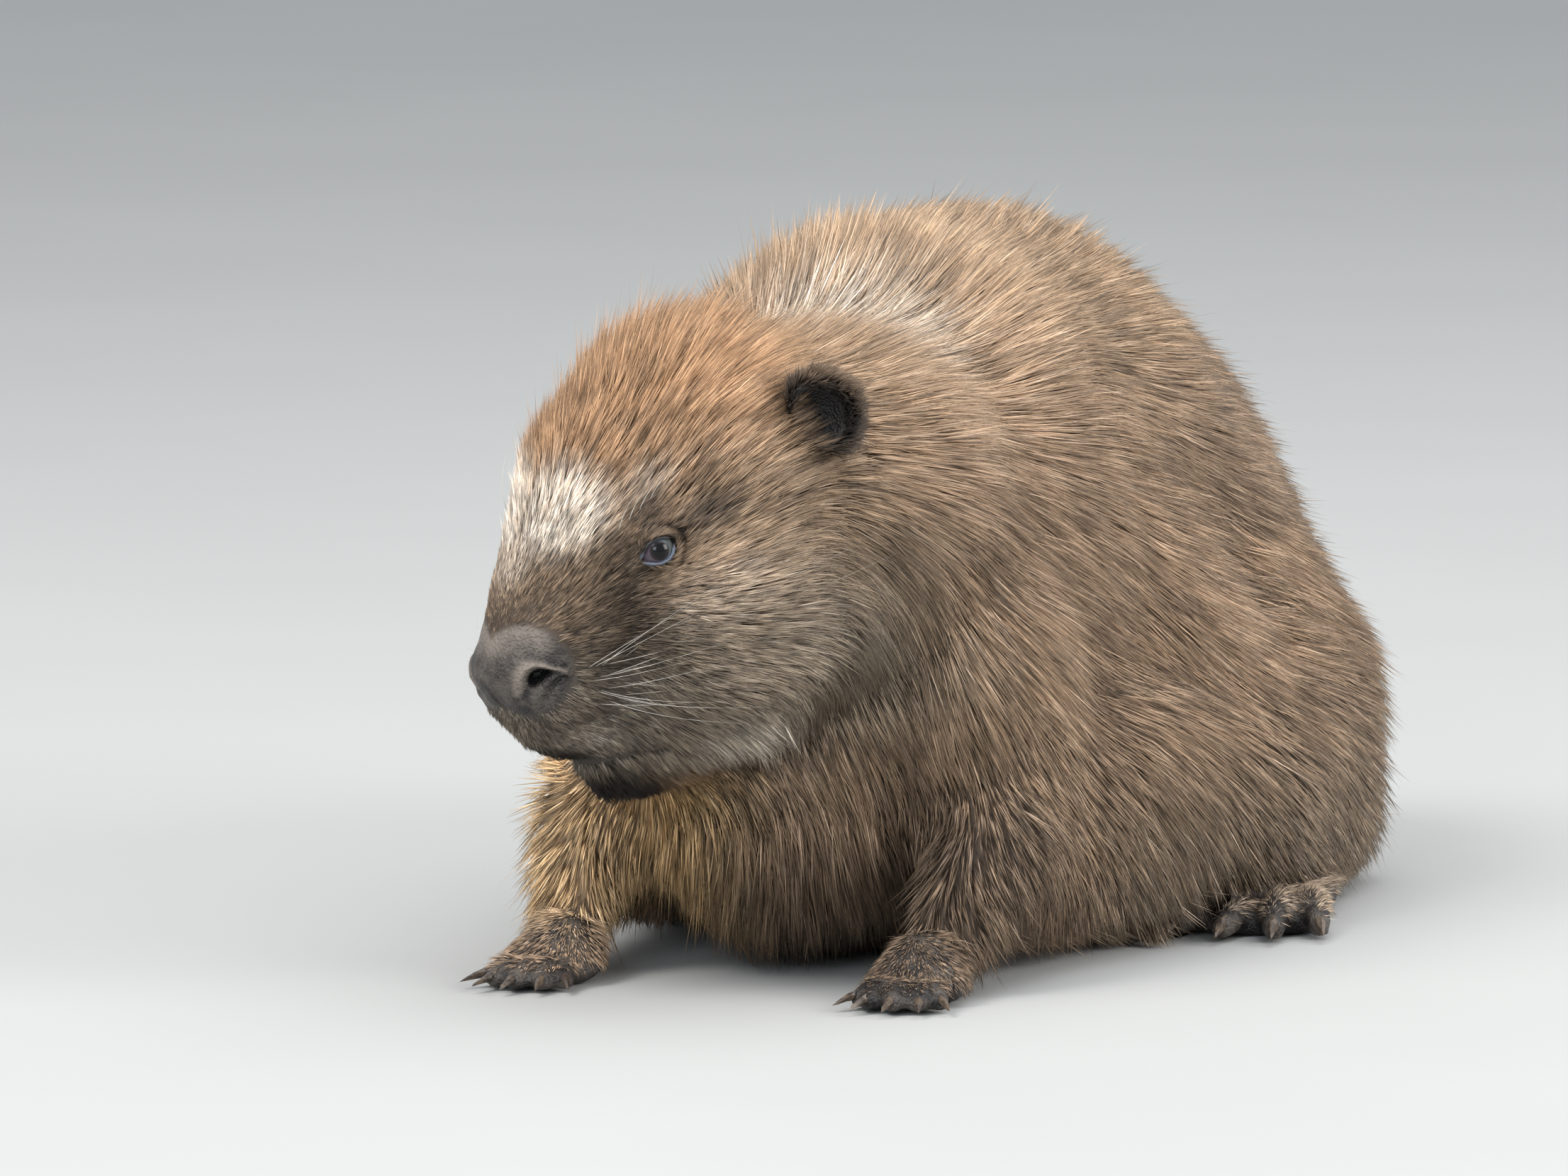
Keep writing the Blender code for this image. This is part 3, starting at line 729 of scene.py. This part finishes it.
# ---- The eyes ----
# Two small dark balls, each a wet clear cornea over a dark brown iris and a wide pupil, held by the lids.
EYE_RINGS = 40
EYE_TURNS = 64
CORNEA_BULGE = 0.35
CORNEA_REACH = 0.62  # radians from the ball's front
IRIS = 3.5
PUPIL = (2.3, 2.8)  # from its black to where the iris begins
REAR_FAR = 20  # keeps the back of the ball out of the iris


def ring_faces(rings, sides, first=0):
    """Triangles between rings of points, numbered from a first one on."""
    faces = []
    for i in range(rings - 1):
        for k in range(sides):
            a, b = first + i * sides + k, first + i * sides + (k + 1) % sides
            faces += [(a, b, b + sides), (a, b + sides, a + sides)]
    return faces


def closed_faces(rings, sides):
    """Triangles of a closed shape: rings of points between a point at each end."""
    last = 1 + (rings - 1) * sides
    faces = ring_faces(rings, sides, 1)
    for k in range(sides):
        after = (k + 1) % sides
        faces += [(0, 1 + after, 1 + k), (last + k, last + after, last + sides)]
    return np.array(faces)


wet_eye, shade = finish("wet_eye", 0.16, 0.3)
off = shade.held("off_axis")
rearward = shade.held("rearward")
iris = off.over(IRIS * 0.6, IRIS).mixed(tone(13, 11, 11), tone(34, 28, 26))
iris = (shade.noise(1400, 3).over(0.4, 0.7) * 0.4).mixed(iris, tone(46, 38, 33))
pupil = off.over(*PUPIL).mixed(tone(4, 4, 5), iris)
white = rearward.over(-0.55, 0.1).mixed(tone(80, 69, 77), tone(84, 92, 106))
white = rearward.over(0.25, 0.7).mixed(white, tone(78, 82, 80))
shade.feed("Base Color", off.over(IRIS - 0.3, IRIS + 0.4).mixed(pupil, white))

# Each ball bulges slightly over the iris, and is turned from +Z to where it looks.
for name, (centre, (ahead, _, out)) in eye_place.items():
    ball = [(0.0, 0.0, -EYE_BALL)]
    for i in range(EYE_RINGS - 1, 0, -1):
        angle = math.pi * (i / EYE_RINGS) ** 1.25
        radius = EYE_BALL + CORNEA_BULGE * math.exp(-((angle / CORNEA_REACH) ** 4))
        flat = radius * math.sin(angle)
        for k in range(EYE_TURNS):
            turn = 2 * math.pi * k / EYE_TURNS
            ball.append((flat * math.cos(turn), flat * math.sin(turn), radius * math.cos(angle)))
    ball.append((0.0, 0.0, EYE_BALL + CORNEA_BULGE))
    local = np.array(ball)
    turned = out_of_head(local @ np.array((ahead, np.cross(out, ahead), out)) + centre)
    eye = piece_of(f"eyeball_{name}", wet_eye, turned, closed_faces(EYE_RINGS - 1, EYE_TURNS))
    give(eye.data, off_axis=np.hypot(local[:, 0], local[:, 1]) + REAR_FAR * (local[:, 2] < 0),
         rearward=-local[:, 0] / EYE_BALL)
    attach(eye, "root")
    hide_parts(f"eye_{name}")

# ---- The coat ----
# Coarse glossy guard hairs over dense wool, in tufts whose tips draw together. Each tuft is a thin closed
# blade rooted in the skin, widest where it bends, that rises and lies back along the body from the nose.

TUFTS = {"body": 196_000, "head": 124_000, "limbs": 44_000}
TUFTS_IN_PIECE = 49_000
CLUMP_SPACING = {"body": 2.9, "head": 1.8, "limbs": 2.5}
FACE_LENGTH = (2.6, 0.15)  # at the nose (mm), and the gain for each mm behind it
FACE_WIDTH = (0.28, 0.0015)
FACE_LIFT = (11, 6)  # on the muzzle, and the gain behind it
# Where the hair is longer: parts, centre, reach, and the gain in length and in lift.
LONGER = (
    (("head", "lower_jaw"), (-105, 0, 78), (75, 75, 48), 7, 9),  # the crown
    (("head", "lower_jaw"), (-60, 0, 54), (34, 34, 26), 2, 4),  # the brow
    (("head", "lower_jaw"), (-30, 0, 18), (30, 34, 22), -2, -8),  # the nose's bridge, where it is less
    (("head", "neck", "chest"), (-78, 0, -56), (50, 90, 30), 13, 0),  # under the cheeks
    (("head", "neck"), (-128, 66, -20), (34, 40, 60), 9, 0),  # behind the cheeks
)
MANE = ((0, -215, 235), (90, 60, 55), 8, 3)  # over the nape, in the model's frame
EAR_ROOT = (-146, 58, 44)
chance = np.random.default_rng(11)

coat_plan = np.array([PARTS[name][1:] for name in PART_NAMES], float)[part]
length, lift, width, thick = coat_plan.T.copy()
of_head = one_of(part, "head", "lower_jaw")
backward = np.clip(-places[:, 0], 0, 200)
length = np.where(of_head, FACE_LENGTH[0] + FACE_LENGTH[1] * backward, length)
thick = np.where(of_head, thick * (length / 12) ** -0.6, thick)
width = np.where(of_head, FACE_WIDTH[0] + FACE_WIDTH[1] * backward, width)
lift = np.where(of_head, FACE_LIFT[0] + FACE_LIFT[1] * ramp(30, 80, backward), lift)
for names, centre, reach, longer, higher in LONGER:
    here = around(both_sides(places), centre, reach) * one_of(part, *names)
    length += here * longer
    lift += here * higher
centre, reach, longer, higher = MANE
here = around(points / MM, centre, reach) * ~of_head
length += here * longer
lift += here * higher

# Round the eyes the hair is short, fine, close and dense, and by the ears it is short.
eye_near = np.zeros(len(points))
for eye, _ in eye_place.values():
    eye_near = np.maximum(eye_near, ramp(20, 6, np.linalg.norm(places - eye, axis=1)))
length *= 1 - 0.55 * eye_near
width *= 1 - 0.35 * eye_near
lift *= 1 - 0.4 * eye_near
thick *= 1 + 2.0 * eye_near
for _, side in SIDES:
    ear_near = ramp(30, 14, np.linalg.norm(places - on_side(EAR_ROOT, side), axis=1))
    length *= 1 - 0.55 * ear_near * one_of(part, "head", "neck")
fields = evened(np.stack([length, lift, width], 1), edges, 12)

# No hair on soles, nose pad, lids and ear hollows, and on the tail only at its ragged root.
height = points[:, 2] / MM
for foot, sole in (("fore_foot", 7), ("hind_foot", 8)):
    thick = np.where(one_of(part, foot), thick * ramp(sole, sole + 5, height), thick)
from_rump = (points[:, 1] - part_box("tail")[0].y) / MM
ragged = 9 * np.sin(points[:, 0] * 400) * np.sin(points[:, 0] * 173 + 2)
thick = np.where(one_of(part, "tail"), thick * ramp(46, 6, from_rump + ragged), thick)
thick *= 1 - np.maximum.reduce((ramp(0.2, 0.8, ear_hollow), ramp(1.6, 0.8, lid_gap), pad))
thick *= 1 - 0.75 * ramp(10, 3, height) * (facing[:, 2] < -0.3)

uv = read(thinned.uv_layers["OFBake"].data, "uv", 2, np.float32).reshape(-1, 3, 2)
a, b, c = (points[triangles[:, k]] for k in range(3))
face_area = np.linalg.norm(np.cross(b - a, c - a), axis=1) / 2
face_part = part[triangles[:, 0]]

HAIR_FROM = (-6, 0, 8)  # where in the head the face's hair lies away from
NECK_FROM = (-105, 0, 30)  # the same for the rest of the coat
WAVES = (((61, 43, 87), 1.3, 1.0), ((-97, 71, 53), 4.1, 1.0), ((190, -160, 140), 2.0, 0.5))
WAVE_TURN = 0.085  # radians


def lie(at, out, spread):
    """How the hair lies: away from the nose, back along the body and down its sides."""
    head = in_head(at)
    x, z = head[:, 0], head[:, 2]
    off_face = np.maximum(ramp(-95, -150, x), ramp(-72, -100, z))
    from_nose = unit(at - out_of_head(HAIR_FROM)) * (1 - off_face)[:, None]
    back = from_nose + unit(at - out_of_head(NECK_FROM)) * off_face[:, None]
    fall = 0.05 + 0.40 * ramp(120, 30, at[:, 2] / MM)
    fall += 0.55 * around(head, (-150, 60, -30), (70, 70, 70)) * (x < -70)
    fall *= ramp(-60, -130, x)
    fall += 0.7 * ramp(-50, -110, x) * ramp(10, -50, z)
    fall += 1.1 * around(head, (-82, 0, -52), (44, math.inf, 30))
    fall += 1.4 * ramp(0.1, 0.8, -out[:, 1]) * off_face * ramp(135, 90, at[:, 2] / MM)
    aside = 0.5 * ramp(-250, -60, at[:, 1] / MM)
    way = back + np.stack([np.zeros(len(at)), aside, -fall], 1)
    way = unit(way - out * np.sum(way * out, 1, keepdims=True))
    wave = sum(size * np.sin(at @ run + start) for run, start, size in WAVES)
    turn = wave * WAVE_TURN + spread
    return unit(way * np.cos(turn)[:, None] + np.cross(out, way) * np.sin(turn)[:, None])


STRAYS = 0.06  # the share that stands out of the coat
ROOT_DEPTH = 0.6 * MM
KNEE = 0.44  # how far along a tuft its widest place is
KNEE_RISE = 0.3  # how far that stands off the straight line, in widths
FLOOR_GAP = 0.3 * MM
ROOM = (0.02, 7 * MM)  # how far tips may leave the solids' box: a share of its side, and a length
PATCH = 0.003  # a tuft's patch on the skin's unwrap
BLADE = np.array([(0, 2, 1), (0, 3, 2), (0, 1, 3), (1, 2, 3)])  # root, the knee's two sides, tip
BLADE_PATCH = np.array([(0.5, 0.0), (0.0, 0.45), (1.0, 0.45), (0.5, 1.0)]) - 0.5


def varied(number, spread, low, high):
    """Random factors about 1."""
    return chance.normal(1.0, spread, number).clip(low, high)


def blades(root, tip, out, wide):
    """Each tuft's four corners: a straight blade, rolled a little about its line."""
    along = unit(tip - root)
    side = unit(np.cross(along, out))
    flat = np.cross(side, along)
    roll = chance.normal(0, 0.5, len(root))[:, None]
    half = (side * np.cos(roll) + flat * np.sin(roll)) * wide[:, None] / 2
    rise = (flat * np.cos(roll) - side * np.sin(roll)) * wide[:, None] * KNEE_RISE
    knee = root * (1 - KNEE) + tip * KNEE + rise
    tuft = np.stack([root, knee - half, knee + half, tip], 1)
    low, high = (np.array(corner) for corner in cad_box)
    room = ROOM[0] * (high - low) + ROOM[1]
    tuft = np.clip(tuft, low - room, high + room)
    tuft[:, :, 2] = np.maximum(tuft[:, :, 2], FLOOR_GAP)
    inside_out = np.linalg.det(tuft[:, 1:] - tuft[:, :1]) < 0
    tuft[inside_out] = tuft[inside_out][:, (0, 2, 1, 3)]
    return tuft


def grow(group, parts):
    """Sets a group's tufts on its parts, in pieces."""
    number = TUFTS[group] // 1
    wanted = one_of(face_part, *parts)
    odds = np.cumsum(face_area * thick[triangles].mean(1) * wanted)
    face = np.searchsorted(odds, chance.random(number) * odds[-1])
    share = chance.dirichlet((1, 1, 1), number)
    corner = triangles[face]
    at = np.einsum("nk,nkj->nj", share, points[corner])
    out = unit(np.einsum("nk,nkj->nj", share, facing[corner]))
    root_uv = np.einsum("nk,nkj->nj", share, uv[face])
    plan = np.einsum("nk,nkj->nj", share, fields[corner])
    order = np.argsort(at[:, 1])
    at, out, root_uv = at[order], out[order], root_uv[order]
    long, rise, wide = plan[order].T
    stray = chance.random(number) < STRAYS
    long = long * MM * varied(number, 0.18, 0.5, 1.45) * np.where(stray, 1.2, 1.0)
    rise = np.radians(rise) * varied(number, 0.3, 0.3, 2.0) * np.where(stray, 1.5, 1.0)
    wide = wide * MM * varied(number, 0.22, 0.5, 1.7) * np.where(stray, 0.6, 1.0)
    way = lie(at, out, chance.normal(0, 0.10, number))

    # Tips draw together: each tuft leans towards the tip of its clump.
    clumps = int((face_area * wanted).sum() / (CLUMP_SPACING[group] * MM) ** 2)
    middle = chance.choice(number, min(clumps, number), replace=False)
    tree = KDTree(len(middle))
    for k, index in enumerate(middle):
        tree.insert(at[index], k)
    tree.balance()
    mine = middle[[tree.find(p)[1] for p in at]]
    tip = at + (way * np.cos(rise)[:, None] + out * np.sin(rise)[:, None]) * long[:, None]
    draw = (0.15 + 0.6 * chance.random(number))[:, None]
    beside = at + (tip[mine] - at[mine]) * (long / long[mine])[:, None]
    tip = tip * (1 - draw) + (beside * 0.35 + tip[mine] * 0.65) * draw
    tuft = blades(at - out * ROOT_DEPTH, tip, out, wide)

    odd = chance.random(number)
    values = {"odd": odd, "clump": chance.random(number)[mine], **markings(at)}
    pieces = -(-number // TUFTS_IN_PIECE)
    for piece, chosen in enumerate(np.array_split(np.arange(number), pieces), 1):
        size = len(chosen)
        faces = (np.arange(size)[:, None, None] * 4 + BLADE).reshape(-1, 3)
        tuft_uv = (root_uv[chosen][:, None] + BLADE_PATCH * PATCH).reshape(-1, 2)
        coat = piece_of(f"coat_{group}_{piece}", fur, tuft[chosen].reshape(-1, 3), faces, tuft_uv)
        give(coat.data, along=np.tile((0, 0.42, 0.42, 1), size),
             **{name: np.repeat(value[chosen], 4) for name, value in values.items()})
        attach(coat, "root")


# A tuft is dark at its root. Tufts and clumps differ in brightness; some are silver, some rusty.
fur, shade = finish("fur", 0.55, 0.3)
along = shade.held("along")
odd = shade.held("odd")
clump = shade.held("clump")
colour = coat_tone(shade, 0.45 + ((odd * 7.3) % 1.0) * 0.9)
bright = 0.30 + along.over(0.0, 0.7) * 0.84
bright = bright * (0.60 + odd * 0.80) * (0.62 + clump * 0.86)
bright = bright * (1 - clump.over(0.80, 0.84) * 0.64) * (1 - odd.over(0.86, 0.89) * 0.66)
bright = bright * (0.84 + shade.noise(16, 2).over(0.3, 0.7) * 0.32) * (1 + shade.held("pale") * 0.25)
rusty = colour.tinted(1.05, 0.97, 0.88)
silver = colour.tinted(0.98, 1.03, 1.12)
colour = (odd.over(0.55, 0.85) * 0.55).mixed(rusty, silver)
colour = shade.make("VectorMath", {"operation": "SCALE"}, {0: colour, "Scale": bright})
shade.feed("Base Color", colour)

grow("body", ("trunk", "rump", "neck", "chest", "tail"))
grow("head", ("head", "lower_jaw", "ear"))
grow("limbs", ("fore_leg", "hind_leg", "fore_foot", "hind_foot"))

# ---- The whiskers ----
# Stiff pale bristles on both sides of the muzzle and over each eye, thick at the root and fine at the end.
# Each is a tapered four-sided mesh that bends as it goes, set in the head's frame (mm).
WHISKER_ROWS = 4
WHISKERS_IN_ROW = 6
WHISKER_THICK = 0.27
BROW_BRISTLES = 4
BROW_THICK = 0.3
TAPER = 0.86  # the share of the thickness lost by the tip
BRISTLE_RINGS = 9
BRISTLE_SIDES = 4


def bristle(root, way, sag, long, thick_at_root):
    """A bristle's points and faces; it sets out one way and bends another."""
    share = np.linspace(0, 1, BRISTLE_RINGS)[:, None]
    line = root + way * share * long + sag * share**2 * long
    across = unit(np.cross(way, (0.3, 0.2, 0.9)))
    over = np.cross(way, across)
    radius = thick_at_root / 2 * (1 - TAPER * share)
    turns = 2 * math.pi * np.arange(BRISTLE_SIDES) / BRISTLE_SIDES
    rings = [line + (across * math.cos(t) + over * math.sin(t)) * radius for t in turns]
    last = (BRISTLE_RINGS - 1) * BRISTLE_SIDES
    ends = [(0, 2, 1), (0, 3, 2), (last, last + 1, last + 2), (last, last + 2, last + 3)]
    return np.stack(rings, 1).reshape(-1, 3), np.array(ring_faces(BRISTLE_RINGS, BRISTLE_SIDES) + ends)


def muzzle_bristle(side, row, k):
    """A whisker of the muzzle's left half, in a row that runs back from the nostril."""
    root = (-31 - 3.2 * k + chance.normal(0, 0.8), 25 + k - 0.6 * row, -5 - 4.6 * row - 0.6 * k)
    ahead = -0.10 - 0.13 * k if side > 0 else 0.5 - 0.16 * k
    way = (ahead + chance.normal(0, 0.12), 0.9, 0.30 - 0.16 * row + chance.normal(0, 0.12))
    sag = np.array((-0.46, -0.16, -0.10)) * (1 + chance.normal(0, 0.25))
    long = (38 + 5.0 * k) * chance.normal(1, 0.16)
    return bristle(np.array(root), unit(np.array(way)), sag, long, WHISKER_THICK)


def brow_bristle(k):
    """One short bristle over the left eye."""
    root = np.array((-58 - 5 * k, 38 + 0.8 * k, 39 + 1.5 * k))
    way = unit(np.array((-0.3, 0.42 + 0.1 * k, 0.8)))
    return bristle(root, way, np.array((-0.35, 0.0, -0.1)), 17 + 4 * chance.random(), BROW_THICK)


strands, strand_faces, first = [], [], 0
for _, side in SIDES:
    made = [muzzle_bristle(side, row, k) for row in range(WHISKER_ROWS) for k in range(WHISKERS_IN_ROW)]
    made += [brow_bristle(k) for k in range(BROW_BRISTLES)]
    for rings, faces in made:
        strands.append(rings * (1, side, 1))
        strand_faces.append((faces if side > 0 else faces[:, ::-1]) + first)
        first += len(rings)
bristle_finish, shade = finish("bristle", 0.4)
shade.feed("Base Color", shade.noise(120, 2).over(0.3, 0.7).mixed(tone(172, 164, 152), tone(212, 206, 196)))
strands = out_of_head(np.concatenate(strands))
whiskers = piece_of("whiskers", bristle_finish, strands, np.concatenate(strand_faces))
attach(whiskers, "root")

# ---- The tail's scales ----
# Low horny plates in staggered rows over the bare paddle, each a shallow six-sided shield that leans a little
# over the next one towards the tip.
TAIL_ROOT = (-13, 150)  # where the tail leaves the rump, seen from above
TAIL_LENGTH = 264
TAIL_TURN = (math.radians(12), math.radians(46))
FIRST_ROW, ROW_STEP = 6, 3.5
COLUMNS, COLUMN_STEP = 15, 4.4  # to each side of the middle line
ROW_BOW = 0.12  # how the rows run back to the tail's edges
PLATE_HALF = (2.205 * MM, 2.52 * MM)  # along the tail and across it
PLATE_LEAN = 0.10
PLATE_TOP, PLATE_SHOULDER, PLATE_SUNK = 0.62 * MM, 0.30 * MM, 0.5 * MM  # over and under the skin
SHOULDER_SHARE = 0.86
STEEPEST = 0.35  # no plates where the skin faces further aside
PLATE_FLOOR = 1.2 * MM  # nor lower


def plate_on(middle, normal, ahead):
    """A plate's corners: its top, its shoulder's six, its foot's six, and its back."""
    lean = unit(normal - ahead * PLATE_LEAN)
    long_way = unit(ahead - lean * (ahead @ lean))
    wide_way = np.cross(long_way, lean)
    half_long, half_wide = np.array(PLATE_HALF) * chance.normal(1, 0.05)
    flat = [long_way * half_long * math.cos(t) + wide_way * half_wide * math.sin(t) for t in hexagon]
    back = middle - normal * PLATE_SUNK
    shoulder = [middle + lean * PLATE_SHOULDER + f * SHOULDER_SHARE for f in flat]
    return [middle + lean * PLATE_TOP, *shoulder, *(back + f for f in flat), back]


bark = BVHTree.FromPolygons(points.tolist(), triangles.tolist())
share = np.sin(np.linspace(0, 1, 400) * math.pi / 2)
heading = TAIL_TURN[0] + (TAIL_TURN[1] - TAIL_TURN[0]) * share
reached = share * TAIL_LENGTH
step = np.diff(share, prepend=0) * TAIL_LENGTH
line = np.cumsum(np.stack([-np.sin(heading), np.cos(heading)], 1) * step[:, None], 0) + TAIL_ROOT
plates, plate_uv = [], []
hexagon = np.radians(np.arange(6) * 60 + 30)
for row, far in enumerate(np.arange(FIRST_ROW, TAIL_LENGTH, ROW_STEP), 1):
    here = np.array([np.interp(far, reached, line[:, 0]), np.interp(far, reached, line[:, 1]), 0])
    turn = np.interp(far, reached, heading)
    ahead = np.array((-math.sin(turn), math.cos(turn), 0))
    across = np.array((ahead[1], -ahead[0], 0))
    for column in range(-COLUMNS, COLUMNS + 1):
        offset = (column + 0.5 * (row % 2)) * COLUMN_STEP
        spot = (here + across * offset + ahead * ROW_BOW * abs(offset)) * MM
        for start, down in ((0.2, -1), (-0.02, 1)):
            hit, normal, index, _ = bark.ray_cast((spot[0], spot[1], start), (0, 0, down))
            if hit is None or hit.z < PLATE_FLOOR or abs(normal.z) < STEEPEST:
                continue
            if face_part[index] == PART_NAMES.index("tail"):
                plates.append(plate_on(np.array(hit), np.array(normal), ahead))
                plate_uv.append(uv[index].mean(0))
plates = np.array(plates)
number, corners = plates.shape[:2]
plate_faces = (np.arange(number)[:, None, None] * corners + closed_faces(2, 6)).reshape(-1, 3)
circle = np.stack([np.cos(hexagon), np.sin(hexagon)], 1)
disc = np.concatenate([np.zeros((1, 2)), circle * 0.3, circle * 0.5, [(0.02, 0.0)]])
plate_uv = (np.array(plate_uv)[:, None] + disc * PATCH).reshape(-1, 2)
scale_horn, shade = finish("scale_horn", 0.5, 0.45)
tint = (shade.held("odd") * 0.5 + shade.noise(45, 3).over(0.35, 0.65) * 0.6).kept()
colour = tint.mixed(tone(52, 48, 48), tone(96, 89, 84))
shade.feed("Base Color", shade.held("rim").over(0.5, 1.0).mixed(colour, tone(34, 31, 31)))
shade.feed("Normal", shade.bump(shade.noise(1500, 3), 0.2 * MM))
tail_scales = piece_of("tail_scales", scale_horn, plates.reshape(-1, 3), plate_faces, plate_uv)
give(tail_scales.data, odd=np.repeat(chance.random(number), corners),
     rim=np.tile([0] + [0.6] * 6 + [1] * 7, number))
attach(tail_scales, "root")

# ---- The claws ----
# Twenty claws of dark brown horn with paler worn streaks, each grown from the end of its toe. They keep the
# solids' own shape and take a horn finish.
horn, shade = finish("horn", 0.38)
streak = shade.noise(260, 4, 0.6).over(0.35, 0.65)
shade.feed("Base Color", streak.mixed(tone(54, 44, 38), tone(98, 84, 70)))
shade.feed("Normal", shade.bump(shade.noise(700, 3), 0.3 * MM))
for node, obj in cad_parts.items():
    if "claw" in node:
        for slot in obj.material_slots:
            slot.material = horn

# ---- The studio ----
# A plain pale floor, a pale sky all round, and four square soft lamps: one over the animal's right shoulder,
# one above, one at its left side, and a cool one low in front.
FLOOR_HALF = 60
plain, shade = finish("plain_floor", 0.85)
shade.feed("Base Color", shade.noise(3, 2).mixed(tone(164, 164, 162), tone(170, 170, 168)))
square = np.array([(-1, -1, 0), (1, -1, 0), (1, 1, 0), (-1, 1, 0)])
floor = piece_of("floor", plain, square * FLOOR_HALF, np.array([(0, 1, 2, 3)]))


def turned_to(obj, place, way):
    """Puts a lamp or a camera into the scene at a place, looking a certain way."""
    obj.location = place
    obj.rotation_mode = "QUATERNION"
    obj.rotation_quaternion = way.to_track_quat("-Z", "Y")
    bpy.context.scene.collection.objects.link(obj)


def lamp(name, place, aim, size, power, colour):
    """A square soft lamp, turned to what it lights; size in metres, power in watts."""
    data = bpy.data.lights.new(name, "AREA")
    data.size = size
    data.energy = power
    data.color = colour
    turned_to(bpy.data.objects.new(name, data), place, Vector(aim) - Vector(place))


lamp("key", (-1.1, -1.7, 2.3), (0, -0.05, 0.1), 1.4, 62, (1, 0.98, 0.95))
lamp("sky", (0.4, 0.5, 2.6), (0, 0, 0.1), 2.6, 56, (0.96, 0.98, 1))
lamp("side", (2.7, -0.1, 1.3), (0, 0, 0.12), 1.6, 66, (1, 0.99, 0.97))
lamp("window", (0.2, -2.9, 1.0), (-0.05, -0.3, 0.13), 1.0, 24, (0.82, 0.91, 1))
world = bpy.data.worlds.new("studio")
world.use_nodes = True
sky = world.node_tree.nodes["Background"].inputs
sky["Color"].default_value = (0.86, 0.90, 0.95, 1)
sky["Strength"].default_value = 0.8
bpy.context.scene.world = world
bpy.context.scene.view_settings.view_transform = "Standard"

# The camera stands low in front, a little to the animal's left, far off with a long lens.
CAMERA_TURN = math.radians(22)
CAMERA_RISE = math.radians(7)
DISTANCE = 6.0
FRAME_WIDTH = 0.588  # the view's, at the animal
AIM = (-0.073, -0.019, 0.117)  # from the middle of the trunk's box along X and Y, and from the floor
level = math.cos(CAMERA_RISE)
back = Vector((math.sin(CAMERA_TURN) * level, -math.cos(CAMERA_TURN) * level, math.sin(CAMERA_RISE)))
middle = sum(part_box("trunk"), Vector()) / 2
aim = Vector((middle.x + AIM[0], middle.y + AIM[1], AIM[2]))
lens = bpy.data.cameras.new("camera")
lens.lens = lens.sensor_width * DISTANCE / FRAME_WIDTH
camera = bpy.data.objects.new("camera", lens)
turned_to(camera, aim + back * DISTANCE, -back)
bpy.context.scene.camera = camera
